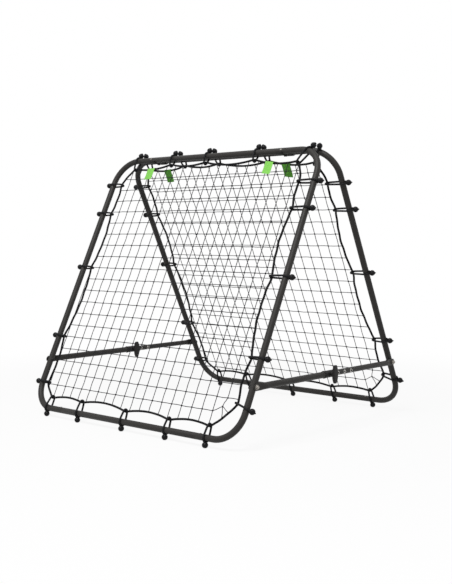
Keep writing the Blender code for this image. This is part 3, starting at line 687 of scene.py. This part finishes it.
# %% Both bars
for hand_name, bar_x in BAR_X.items():
    outer = bar_tube(f"spreader_outer_tube_{hand_name}", bar_x, -PIVOT_Y, 1, OUTER_LENGTH[hand_name], TUBE,
                     OUTER_WALL)
    drill(outer, bar_x, -PIVOT_Y, FRONT_BORE, THROUGH_FLAT)
    inner = bar_tube(f"spreader_inner_tube_{hand_name}", bar_x, PIVOT_Y, -1, INNER_LENGTH, INNER_BAR,
                     INNER_WALL)
    drill(inner, bar_x, PIVOT_Y, REAR_BORE, THROUGH_FLAT)
    holes = [KNOB_Y[hand_name] + HOLE_PITCH * (k - LOCKED_HOLE[hand_name]) for k in range(HOLES)]
    for y in holes:
        drill(inner, bar_x, y, ADJUST_BORE, THROUGH_TUBE)
    for piece, node in ((outer, "outer"), (inner, "inner")):
        body = f"bar_{hand_name}_{node}"
        fit(smooth(piece, 32), body, body)
    rims = join("hole_rims_" + hand_name, *[eyelet(f"rim_{hand_name}", bar_x, y) for y in holes])
    fit(finish(rims, BARE_STEEL), f"bar_{hand_name}_inner")
print("bar tubes: 4, adjusting holes", HOLE_PITCH, "m apart")

# %% [markdown]
# ## Lock collars and wing knobs
# A moulded sleeve covers the end of each outer tube and carries the boss for the lock screw. The knob is a
# tall narrow wing on a round hub. The wing starts as a block, is subdivided, drawn in at its ends and
# rounded with a subdivision surface, so it gets the soft waist of a moulded grip.


# %% Collar and knob
COLLAR_LENGTH, COLLAR_OVERHANG = 0.0655, 0.0055
WING = (0.0100, 0.0232, 0.0590)


def lock_collar(name, bar_x, knob_y):
    """The sleeve, its rims and its boss."""
    rear = knob_y + KNOB_INSET + COLLAR_OVERHANG
    front = rear - COLLAR_LENGTH
    wall, hole, mouth = TUBE + 0.0014, TUBE + SEAT, INNER_BAR + SEAT
    profile = [(front, hole), (front, wall), (front + 0.0006, wall + 0.0007), (front + 0.0036, wall + 0.0007),
               (front + 0.0044, wall), (rear - 0.0050, wall), (rear - 0.0044, wall + 0.0003),
               (rear - 0.0008, wall + 0.0003), (rear, wall - 0.0006), (rear, mouth),
               (rear - 0.0052, mouth), (rear - 0.0052, hole)]
    collar = lathe(name, profile, (bar_x, 0, PIVOT_Z), axis="Y", steps=40, closed=True)
    step = ((0.0006, 0), (0.0006, 0.0086), (0.0046, 0.0082), (0.0053, 0.0074), (0.0053, 0))
    boss = lathe(name + "_boss", [(TUBE + x, r) for x, r in step], (bar_x, knob_y, PIVOT_Z), steps=28)
    cut(collar, boss, "UNION")
    drill(collar, bar_x + TUBE + 0.003, knob_y, 0.0033, 0.012)
    return finish(collar, MOULDED, 30)


def wing_knob(name, bar_x, knob_y):
    """Screw, hub and wing of the lock knob."""
    face = TUBE + 0.0056
    centre = (bar_x, knob_y, PIVOT_Z)
    screw = lathe(name, [(0.0096, 0), (0.0096, 0.0024), (0.0104, 0.0029), (face, 0.0029), (face, 0)], centre,
                  steps=20)
    hub = lathe(name + "_hub", [(face, 0), (face, 0.0072), (face + 0.0004, 0.0076), (face + 0.0045, 0.0072),
                                (face + 0.0045, 0)], centre, steps=28)
    bpy.ops.mesh.primitive_cube_add(size=1, location=(bar_x + face + 0.0067, knob_y, PIVOT_Z), scale=WING)
    wing = settle(bpy.context.object)
    edit(wing)
    bpy.ops.mesh.subdivide(number_cuts=4)
    for reach, across in ((0.0275, 0.60), (0.016, 0.92)):
        choose(wing, lambda place: abs(place.z - PIVOT_Z) > reach)
        resize((across, across, 1), (bar_x + face + 0.0060, knob_y, PIVOT_Z))
    choose(wing, lambda place: place.x > bar_x + face + 0.0098)
    resize((1, 0.80, 0.94), (bar_x + face + 0.0117, knob_y, PIVOT_Z))
    outward(wing)
    apply_modifier(wing, "SUBSURF", levels=2, render_levels=2)
    return finish(join(name, wing, hub, screw), MOULDED, 40)


for hand_name, bar_x in BAR_X.items():
    collar = lock_collar("lock_collar_" + hand_name, bar_x, KNOB_Y[hand_name])
    fit(collar, f"bar_{hand_name}_outer", f"bar_{hand_name}_collar")
    knob = wing_knob("wing_knob_" + hand_name, bar_x, KNOB_Y[hand_name])
    fit(knob, f"bar_{hand_name}_knob", f"bar_{hand_name}_knob")

# %% [markdown]
# ## Where the bungees sit
# Twenty bungees go round each frame. Each one is given by its place along an edge and by how far it draws
# the net's border cord from the tube, as read from the photograph. In a corner the place follows the bend,
# and two bungees there pull at a slant, given in degrees.

# %% Bungee stations
STATIONS = {
    "bottom": ((-0.843, .037), (-0.492, .039), (-0.031, .035), (0.389, .034), (0.747, .037)),
    "top": ((-0.803, .034), (-0.419, .0245), (-0.063, .0245), (0.413, .027), (0.890, .047, -13.8)),
    "left": ((0.091, .032), (0.272, .027), (0.550, .041), (0.775, .044), (0.898, .046)),
    "right": ((0.108, .040, -15.0), (0.268, .039), (0.540, .054), (0.781, .055), (0.879, .059)),
}


def station(edge, share, slant=0.0):
    """Tube centre and the bungee's outward direction at a station, as (x, s, dx, ds)."""
    across = edge in ("bottom", "top")
    half = HALF_WIDTH if across else SLOPE / 2
    place = share * half if across else (2 * share - 1) * half
    straight = half - CORNER
    turn = math.radians(45.0 * max(0.0, abs(place) - straight) / CORNER)
    sign = math.copysign(1.0, place)
    along = sign * (min(abs(place), straight) + CORNER * math.sin(turn))
    out = CORNER * math.cos(turn) - CORNER
    if across:
        up = 1 if edge == "top" else -1
        x, s = along, SLOPE / 2 + up * (SLOPE / 2 + out)
        way = Vector((sign * math.sin(turn), up * math.cos(turn)))
    else:
        hand = HANDS[edge]
        x, s = hand * (HALF_WIDTH + out), SLOPE / 2 + along
        way = Vector((hand * math.cos(turn), sign * math.sin(turn)))
    way = Matrix.Rotation(math.radians(slant), 2) @ way
    return x, s, way.x, way.y


def hooks():
    """The border cord's hooks, round the net from the lower left, as (edge, place, direction)."""
    found = []
    for edge, order in (("bottom", 1), ("right", 1), ("top", -1), ("left", -1)):
        for share, reach, *slant in STATIONS[edge][::order]:
            x, s, dx, ds = station(edge, share, *slant)
            found.append((edge, Vector((x - dx * reach, 0, s - ds * reach)), Vector((-ds, 0, dx))))
    return found


HOOKS = hooks()
print("hooks per frame:", len(HOOKS))

# %% [markdown]
# ## Cords
# A cord is a row of points with a round section. A curve object with a bevel does that, but its UV map is
# lost on conversion, and the thread pattern needs one: u in metres along the cord and v once round it. So
# one function sweeps a ring along the points, without twist, and writes that map.


# %% Sweep a cord
def smooth_path(points, closed, spacing):
    """A Catmull-Rom curve through the points, at about even spacing."""
    count = len(points)
    path = []
    for k in range(count if closed else count - 1):
        a, b, c, d = [points[(k + j) % count] if closed else points[min(max(k + j, 0), count - 1)]
                      for j in (-1, 0, 1, 2)]
        steps = max(1, math.ceil((c - b).length / spacing))
        for step in range(steps):
            t = step / steps
            path.append(0.5 * (2 * b + (c - a) * t + (2 * a - 5 * b + 4 * c - d) * t ** 2
                               + (3 * b - a - 3 * c + d) * t ** 3))
    if not closed:
        path.append(points[-1].copy())
    return path


def mapped_face(build, uv, corners, places):
    """A face with a UV place for each of its corners."""
    face = build.faces.new(corners)
    for loop, place in zip(face.loops, places):
        loop[uv].uv = place


def cord(name, runs, radius, sides, material, closed=False, taper=None):
    """One mesh of swept cords. runs is a list of point rows; taper gives a radius factor along a row."""
    build = bmesh.new()
    uv = build.loops.layers.uv.new("cord")
    for points in runs:
        count = len(points)
        rings, lengths, length = [], [0.0], 0.0
        normal = None
        for k, point in enumerate(points):
            before = points[k - 1] if k or closed else point
            after = points[(k + 1) % count] if closed or k + 1 < count else point
            along = (after - before).normalized()
            if normal is None:
                normal = along.orthogonal().normalized()
            normal = (normal - along * normal.dot(along)).normalized()
            third = along.cross(normal)
            size = radius * (taper(k / (count - 1)) if taper else 1.0)
            angles = [2 * math.pi * j / sides for j in range(sides)]
            rings.append([build.verts.new(point + size * (normal * math.cos(a) + third * math.sin(a)))
                          for a in angles])
            length += (points[(k + 1) % count] - point).length
            lengths.append(length)
        for k in range(count if closed else count - 1):
            for j in range(sides):
                corners = ((k, j), (k, j + 1), (k + 1, j + 1), (k + 1, j))
                mapped_face(build, uv, [rings[a % count][b % sides] for a, b in corners],
                            [(lengths[a], b / sides) for a, b in corners])
        if not closed:
            build.faces.new(rings[0][::-1])
            build.faces.new(rings[-1])
    bmesh.ops.recalc_face_normals(build, faces=build.faces)
    piece = mesh_piece(name, build, material)
    piece.data.shade_smooth()
    return piece


# %% [markdown]
# ## The border cord
# The net hangs in a thick cord that runs straight through each bungee's loop and sags inwards between
# them, because the net pulls on it. Its path is a curve through the hooks with a shallow bow in each
# span; the bow is almost flat in the corners, where the net pulls least. A small waver is added up both
# sides, where the rows tug at it.


# %% Lay out the border
HOOK_HALF = 0.004
CORNER_BOW, SPAN_BOW = -0.035, 0.06
BOW_SHARES = (0.0, 0.18, 0.4, 0.6, 0.82, 1.0)
WAVER, SHORT_WAVE, LONG_WAVE = 0.0008, 0.0085, 0.0149


def border_path():
    """The border's path in the upright plane, closed."""
    points = []
    for k, (edge, hook, direction) in enumerate(HOOKS):
        next_edge, place, onward = HOOKS[(k + 1) % len(HOOKS)]
        start, end = hook + direction * HOOK_HALF, place - onward * HOOK_HALF
        span = end - start
        inward = Vector((-span.z, 0, span.x))
        bow = CORNER_BOW if next_edge != edge else SPAN_BOW
        points += [start + span * t + inward * bow * 4 * t * (1 - t) for t in BOW_SHARES]
    return smooth_path(points, closed=True, spacing=0.008)


def waver(path):
    """The closed path with a small uneven wave across its upright runs, as where each row tugs at it."""
    waved, length = [], 0.0
    for k, point in enumerate(path):
        along = (path[(k + 1) % len(path)] - path[k - 1]).normalized()
        shift = WAVER * along.z * (math.sin(length / SHORT_WAVE) + 0.7 * math.sin(length / LONG_WAVE + 1.0))
        waved.append(point + Vector((-along.z, 0, along.x)) * shift)
        length += (path[(k + 1) % len(path)] - point).length
    return waved


BORDER_PATH = waver(border_path())
border_length = sum((a - b).length for a, b in zip(BORDER_PATH, BORDER_PATH[1:] + BORDER_PATH[:1]))
print("border cord length", round(border_length, 3), "m")

# %% [markdown]
# ## The knotted mesh
# The mesh is square, 43 by 45 mm, with a knot at each crossing. Columns and rows are laid out evenly and
# end on the border cord. Near the lower right corner, where the border cuts across and the twines are
# short, the last knot is drawn up and in, as in the photograph. Twines are thin swept cords, and a knot
# is a small faceted ball, modelled once and copied in the mesh.

# %% Lay out the mesh
COLUMN_0, COLUMN_STEP = -0.390, 0.04346
ROW_0, ROW_STEP = 0.0844, 0.04535
LINES = range(-2, 22)
KNOT_MARGIN = 0.006
CORNER_FROM, CORNER_PULL = 0.34, Vector((-0.010, 0, 0.017))
TWINE_RADIUS, TWINE_SWAY, SHORT_TWINE = 0.00118, 0.0009, 0.02
KNOT_RADIUS = 0.0034
BORDER_RADIUS = 0.0036


def crossings(value, axis):
    """Where the line at this value of x or z, axis 0 or 2, crosses the border, sorted along the other."""
    other = 2 - axis
    found = []
    for a, b in zip(BORDER_PATH, BORDER_PATH[1:] + BORDER_PATH[:1]):
        if (a[axis] - value) * (b[axis] - value) < 0:
            t = (value - a[axis]) / (b[axis] - a[axis])
            found.append(a[other] + (b[other] - a[other]) * t)
    return sorted(found)


def mesh_lines():
    """Point rows of all twines, from one end on the border to the other, and the places of the knots."""
    columns = [COLUMN_0 + COLUMN_STEP * k for k in LINES]
    rows = [ROW_0 + ROW_STEP * k for k in LINES]
    limits_up = {x: crossings(x, 0) for x in columns}
    limits_across = {s: crossings(s, 2) for s in rows}
    knots = {}
    for x in columns:
        for s in rows:
            if all(len(ends) > 1 and ends[0] + KNOT_MARGIN < value < ends[-1] - KNOT_MARGIN
                   for ends, value in ((limits_up[x], s), (limits_across[s], x))):
                knots[x, s] = Vector((x, 0, s))
    low_row = min(s for x, s in knots if x > CORNER_FROM)
    knots[max((x, s) for x, s in knots if s == low_row)] += CORNER_PULL
    lines = [([Vector((x, 0, s)) for s in limits_up[x]],
              [knots[x, s] for s in rows if (x, s) in knots]) for x in columns]
    lines += [([Vector((x, 0, s)) for x in limits_across[s]],
               [knots[x, s] for x in columns if (x, s) in knots]) for s in rows]
    return [[ends[0], *line, ends[-1]] for ends, line in lines if line], list(knots.values())


def slack(run):
    """A twine with a point between each two knots that strays a little, as real netting does."""
    points = []
    for a, b in zip(run, run[1:]):
        drift = Vector([random.uniform(-TWINE_SWAY, TWINE_SWAY) for _ in range(3)])
        points += [a, (a + b) / 2 + (drift if (b - a).length > SHORT_TWINE else Vector())]
    return smooth_path(points + [run[-1]], closed=False, spacing=0.012)


# %% Tie the knots and build the nets
def knot_cluster(name, places):
    """One faceted knot, copied to every crossing with its own turn."""
    bpy.ops.mesh.primitive_ico_sphere_add(subdivisions=1, radius=KNOT_RADIUS)
    knot = settle(bpy.context.object)
    edit(knot)
    bpy.ops.mesh.bevel(offset_type="PERCENT", offset_pct=22, segments=1, affect="VERTICES")
    resize((1.0, 0.78, 1.12), (0, 0, 0))
    deselect()
    build = bmesh.new()
    for place in places:
        shape = Matrix.Translation(place) @ Matrix.Rotation(random.uniform(0, math.pi), 4, "Y")
        start = len(build.verts)
        build.from_mesh(knot.data)
        build.verts.ensure_lookup_table()
        bmesh.ops.transform(build, matrix=shape, verts=build.verts[start:])
    discard(knot)
    cluster = mesh_piece(name, build, TWINE)
    cluster.data.shade_smooth()
    return cluster


RUNS, KNOTS = mesh_lines()
for side_name, side in SIDES.items():
    twines = cord(side_name + "_net_twines", [slack(run) for run in RUNS], TWINE_RADIUS, 6, TWINE)
    knots = knot_cluster(side_name + "_net_knots", KNOTS)
    border = cord(side_name + "_border_cord", [BORDER_PATH], BORDER_RADIUS, 10, BORDER, closed=True)
    for piece, node in ((twines, side_name + "_net"), (knots, None), (border, None)):
        fit(lean(piece, side), side_name + "_frame", node)
print("twines:", len(RUNS), "knots per net:", len(KNOTS))

# %% [markdown]
# ## Ball bungees
# A bungee is an elastic loop whose two ends are crimped in a plastic ball. The loop is passed round the
# border cord and the tube, and the ball sits outside the tube. Two balls are turned once and copied: one
# with a crimped nub and a stub of elastic at its far pole, and one without, which the frame stands on. The
# ground presses those a little flat. Each loop is swept to its own length.


# %% Ball and elastic
TAIL_POINTS = {"top": 2, "left": 3, "right": 4}
ELASTIC_RADIUS, TAIL_RADIUS = 0.0033, 0.0020
SWINGS = {"bottom": FOOT_SWING, "top": TOP_SWING}


def ball(name, crimped):
    """A ball on the X axis, neck towards -X. A crimped one has a nub at its far pole."""
    rings = [*range(38, 151, 14)] + ([] if crimped else [158, 169])
    profile = [(-0.0112, 0), (-0.0112, 0.0032), (-0.0106, 0.0038), (-0.0094, 0.0047)]
    profile += [(-BALL * math.cos(math.radians(a)), BALL * math.sin(math.radians(a))) for a in rings]
    profile += [(0.0099, 0.0040), (0.0112, 0.0029), (0.0112, 0)] if crimped else [(BALL, 0)]
    return finish(lathe(name, profile, steps=22), BALL_PLASTIC, 50)


def loop_path(reach, ball_reach, swing):
    """The loop in its own plane: x out from the tube's centre, y through the frame."""
    half = [(ball_reach - 0.0085, 0.0018), (0.0122, 0.0048), (0.0092, 0.0088), (0.0035, 0.0122),
            (-0.0030, 0.0124), (-0.0115, 0.0117), (-0.6 * reach, 0.0105), (-reach + 0.0085, 0.0095),
            (-reach + 0.0015, 0.0082), (-reach - 0.0044, 0.0054)]
    turns = (1.0, 0.8, 0.4, 0.1) + 6 * (0.0,)
    over, under = [[Matrix.Rotation(swing * turn, 3, "Z") @ Vector((x, y * way, 0))
                    for (x, y), turn in zip(half, turns)] for way in (1, -1)]
    return smooth_path(over + [Vector((-reach - 0.0064, 0, 0))] + under[::-1], closed=False, spacing=0.004)


def bungee(name, edge, side, share, reach, slant=0.0):
    """Ball and loop of one station, upright. The balls at the bottom and the top swing inwards a little."""
    x, s, dx, ds = station(edge, share, slant)
    grounded = edge == "bottom"
    ball_reach = FOOT_REACH if grounded else BALL_REACH
    swing = -side * SWINGS.get(edge, 0.0)
    around = Matrix.Rotation(swing, 3, "Z")
    sphere = copy_of(FOOT_PATTERN if grounded else BALL_PATTERN, name + "_ball")
    sphere.rotation_euler = (0, 0, swing)
    sphere.location = around @ Vector((ball_reach, 0, 0))
    settle(sphere)
    loop = cord(name, [loop_path(reach, ball_reach, swing)], ELASTIC_RADIUS, 8, ELASTIC,
                taper=lambda t: 1.0 + 0.25 * math.exp(-((t - 0.5) / 0.06) ** 2))
    parts = [loop, sphere]
    if not grounded:
        stub = [around @ Vector((ball_reach + 0.0085 + 0.0016 * k, 0.0003 * k * k, 0))
                for k in range(TAIL_POINTS[edge])]
        path = smooth_path(stub, closed=False, spacing=0.0012)
        parts.append(cord(name + "_tail", [path], TAIL_RADIUS, 8, ELASTIC,
                          taper=lambda t: 1.0 if t < 0.9 else 0.7))
    piece = join(name, *parts)
    piece.data.transform(Matrix(((dx, 0, -ds, x), (0, 1, 0, 0), (ds, 0, dx, s), (0, 0, 0, 1))))
    return piece


BALL_PATTERN = ball("ball_pattern", True)
FOOT_PATTERN = ball("foot_ball_pattern", False)
for side_name, side in SIDES.items():
    for edge, row in STATIONS.items():
        for number, place in enumerate(row, 1):
            piece = lean(bungee(f"{side_name}_ball_bungee_{edge}_{number}", edge, side, *place), side)
            if edge == "bottom":
                for vertex in piece.data.vertices:
                    vertex.co.z = max(vertex.co.z, 0.0)
            fit(piece, side_name + "_frame", f"{side_name}_bungee_{edge}_{number}")
discard(BALL_PATTERN, FOOT_PATTERN)
print("bungees:", 2 * sum(len(row) for row in STATIONS.values()))

# %% [markdown]
# ## Cloth tabs
# Two bright woven tabs hang from each net's border cord under the top tube. Each is a short ribbon, folded
# over the cord. It is drawn as one strip that goes over the cord and down, with a little curl at its free
# end. Solidify gives it thickness and a second slot for its other face. One face has the green cloth, the
# other a darker copy of it, which is painted shade and not a colour of the cloth. The tabs hang outside the
# front net and inside the rear one, where the painted-shade face is the one that shows.


# %% Cloth material and tabs
THREAD_PITCH = 0.0011


def cloth(name, low, high, gap):
    """Plain weave: two crossed waves for the threads, a slow noise for the dye."""
    material, tree, shader = start_material(name, 0.72, specular=0.25)
    place = add(tree, "ShaderNodeUVMap", uv_map="cloth")
    split = add(tree, "ShaderNodeSeparateXYZ")
    tree.links.new(place.outputs["UV"], split.inputs["Vector"])
    waves = [math_node(tree, "SINE", math_node(tree, "MULTIPLY", split.outputs[axis],
                                               2 * math.pi / THREAD_PITCH)) for axis in ("X", "Y")]
    weave = math_node(tree, "MULTIPLY_ADD", math_node(tree, "MULTIPLY", waves[0], waves[1]), 0.5, 0.5)
    grain = place_group(tree, SPECKLE, Fine_Scale=1400.0, Patch_Scale=55.0)
    dye = blend_colours(tree, grain.outputs["Patches"], low, high)
    shade = math_node(tree, "MULTIPLY_ADD", weave, 0.28, 0.0)
    tree.links.new(blend_colours(tree, shade, dye, gap), shader.inputs["Base Color"])
    bump(tree, shader, weave, 0.00018)
    set_inputs(shader, Sheen_Weight=0.15)
    return material


CLOTH = cloth("green_cloth", (0.175, 0.545, 0.070), (0.295, 0.730, 0.130), (0.100, 0.360, 0.040))
# A darker copy of the green cloth: painted shade for the tab face turned away from the lamp.
CLOTH_PAINTED_SHADE = cloth("green_cloth_painted_shade", (0.070, 0.285, 0.019), (0.105, 0.390, 0.031), (0.043, 0.183, 0.013))
TAB_WIDTH, TAB_DROP, TAB_SHARES = 0.035, 0.0435, (-0.616, 0.567)
TAB_WRAP, TAB_LEAN, TAB_CURL, TAB_RIPPLE, TAB_THICKNESS = 0.0043, 0.0013, 0.003, 0.0006, 0.0009
DROP_SHARES = (0.08, 0.2, 0.34, 0.5, 0.66, 0.82, 0.93, 1)


def cloth_tab(name, x, materials):
    """A strip folded over the border cord at x, upright, and its cut length."""
    build = bmesh.new()
    uv = build.loops.layers.uv.new("cloth")
    over = [math.radians(a) for a in range(-10, 91, 20)]
    path = [(TAB_WRAP * math.sin(a), TAB_WRAP * math.cos(a)) for a in over]
    path += [(TAB_WRAP - TAB_LEAN * t + TAB_CURL * t * t * t, -TAB_DROP * t) for t in DROP_SHARES]
    lengths = [0.0]
    for a, b in zip(path, path[1:]):
        lengths.append(lengths[-1] + math.hypot(b[0] - a[0], b[1] - a[1]))
    columns = [k / 6 - 0.5 for k in range(7)]
    grid = []
    for across in columns:
        place = x + across * TAB_WIDTH
        top = crossings(place, 0)[-1]
        ripple = TAB_RIPPLE * math.cos(9 * across)
        grid.append([build.verts.new((place, -y - ripple * (h < -0.01), top + h)) for y, h in path])
    for i in range(len(columns) - 1):
        for j in range(len(path) - 1):
            corners = ((i, j), (i + 1, j), (i + 1, j + 1), (i, j + 1))
            mapped_face(build, uv, [grid[a][b] for a, b in corners],
                        [(columns[a] * TAB_WIDTH, lengths[b]) for a, b in corners])
    tab = mesh_piece(name, build, *materials)
    outward(tab)
    apply_modifier(tab, "SOLIDIFY", thickness=TAB_THICKNESS, offset=1.0, material_offset=1)
    apply_modifier(tab, "BEVEL", width=0.0002, segments=1, limit_method="ANGLE")
    return smooth(tab, 60), lengths[-1]


for side_name, side in SIDES.items():
    for number, share in enumerate(TAB_SHARES, 1):
        # The rear tabs show their painted-shade face, the darker copy of the green cloth.
        tab, cut_length = cloth_tab(f"{side_name}_cloth_tab_{number}", share * HALF_WIDTH,
                                    (CLOTH, CLOTH_PAINTED_SHADE)[::-side])
        fit(lean(tab, side), side_name + "_frame")
print("cloth tabs: 4, each cut", TAB_WIDTH, "by", round(cut_length, 4), "m")

# %% [markdown]
# ## Floor, light and camera
# The photograph has a plain white ground, so the floor is nearly white and the camera sees it and the
# world at full strength. One large soft lamp hangs high in front, a faint one stands behind on the right,
# and a pale world fills the shade. The camera stands where the tubes' edges in the photograph put it.


# %% Floor and backdrop
FLOOR_SIZE = 30
WHITE = (1, 1, 1, 1)


def seen_by(tree, *rays):
    """1 for these kinds of rays, 0 for all others."""
    path = add(tree, "ShaderNodeLightPath")
    share = path.outputs[rays[0]]
    for ray in rays[1:]:
        share = math_node(tree, "MAXIMUM", share, path.outputs[ray])
    return share


def blend_shaders(tree, factor, first, second, output):
    """Mix two shaders into the tree's output."""
    mix = add(tree, "ShaderNodeMixShader")
    for socket, value in zip(mix.inputs, (factor, first.outputs[0], second.outputs[0])):
        tree.links.new(value, socket)
    tree.links.new(mix.outputs[0], tree.nodes[output].inputs["Surface"])


def floor_material():
    """Near-white ground that keeps a soft shadow and reads white to the camera."""
    material, tree, shader = start_material("pale_floor", 0.9, specular=0.0)
    set_inputs(shader, Base_Color=(0.86, 0.86, 0.86, 1))
    glow = set_inputs(add(tree, "ShaderNodeEmission"), Color=WHITE, Strength=1.0)
    place = add(tree, "ShaderNodeTexCoord")
    reach = add(tree, "ShaderNodeVectorMath", operation="LENGTH")
    tree.links.new(place.outputs["Object"], reach.inputs[0])
    fade = set_inputs(add(tree, "ShaderNodeMapRange", interpolation_type="SMOOTHSTEP"),
                      From_Min=0.9, From_Max=2.2, To_Min=0.90, To_Max=1.0)
    tree.links.new(reach.outputs["Value"], fade.inputs["Value"])
    direct = seen_by(tree, "Is Camera Ray", "Is Glossy Ray")
    share = math_node(tree, "MULTIPLY", direct, fade.outputs["Result"])
    blend_shaders(tree, share, shader, glow, "Material Output")
    return material


deselect()
bpy.ops.mesh.primitive_plane_add(size=FLOOR_SIZE)
floor = bpy.context.object
floor.name = "floor"
floor.data.materials.append(floor_material())

world = bpy.data.worlds.new("studio")
bpy.context.scene.world = world
world.use_nodes = True
tree = world.node_tree
fill, white = tree.nodes["Background"], add(tree, "ShaderNodeBackground")
for background, strength in ((fill, 0.25), (white, 1.0)):
    set_inputs(background, Color=WHITE, Strength=strength)
direct = seen_by(tree, "Is Camera Ray", "Is Glossy Ray", "Is Transmission Ray")
blend_shaders(tree, direct, fill, white, "World Output")


# %% Lamps and camera
LAMP_TARGET = Vector((0, 0, 0.4))


def lamp(name, place, size, power):
    """A soft square lamp that faces the middle of the frames."""
    light = bpy.data.lights.new(name, "AREA")
    light.size = size
    light.energy = power
    thing = new_object(name, light)
    thing.location = place
    thing.rotation_euler = (LAMP_TARGET - Vector(place)).to_track_quat("-Z", "Y").to_euler()


lamp("key", (0.6, -2.4, 4.2), 2.2, 175)
lamp("rim", (2.8, 2.2, 3.0), 2.0, 8)

camera = bpy.data.cameras.new("camera")
stand = new_object("camera", camera)
look_down, look_aside = math.radians(2.84), math.radians(41.57)
stand.location = (2.28144, -2.53253, 0.6357)
stand.rotation_euler = (math.radians(90) - look_down, 0, look_aside)
camera.sensor_width = 36
camera.lens = 59.17
picture_height, optical_centre = 584, 282.1
camera.shift_y = (optical_centre - picture_height / 2) / picture_height
bpy.context.scene.camera = stand
bpy.context.scene.view_settings.view_transform = "Standard"
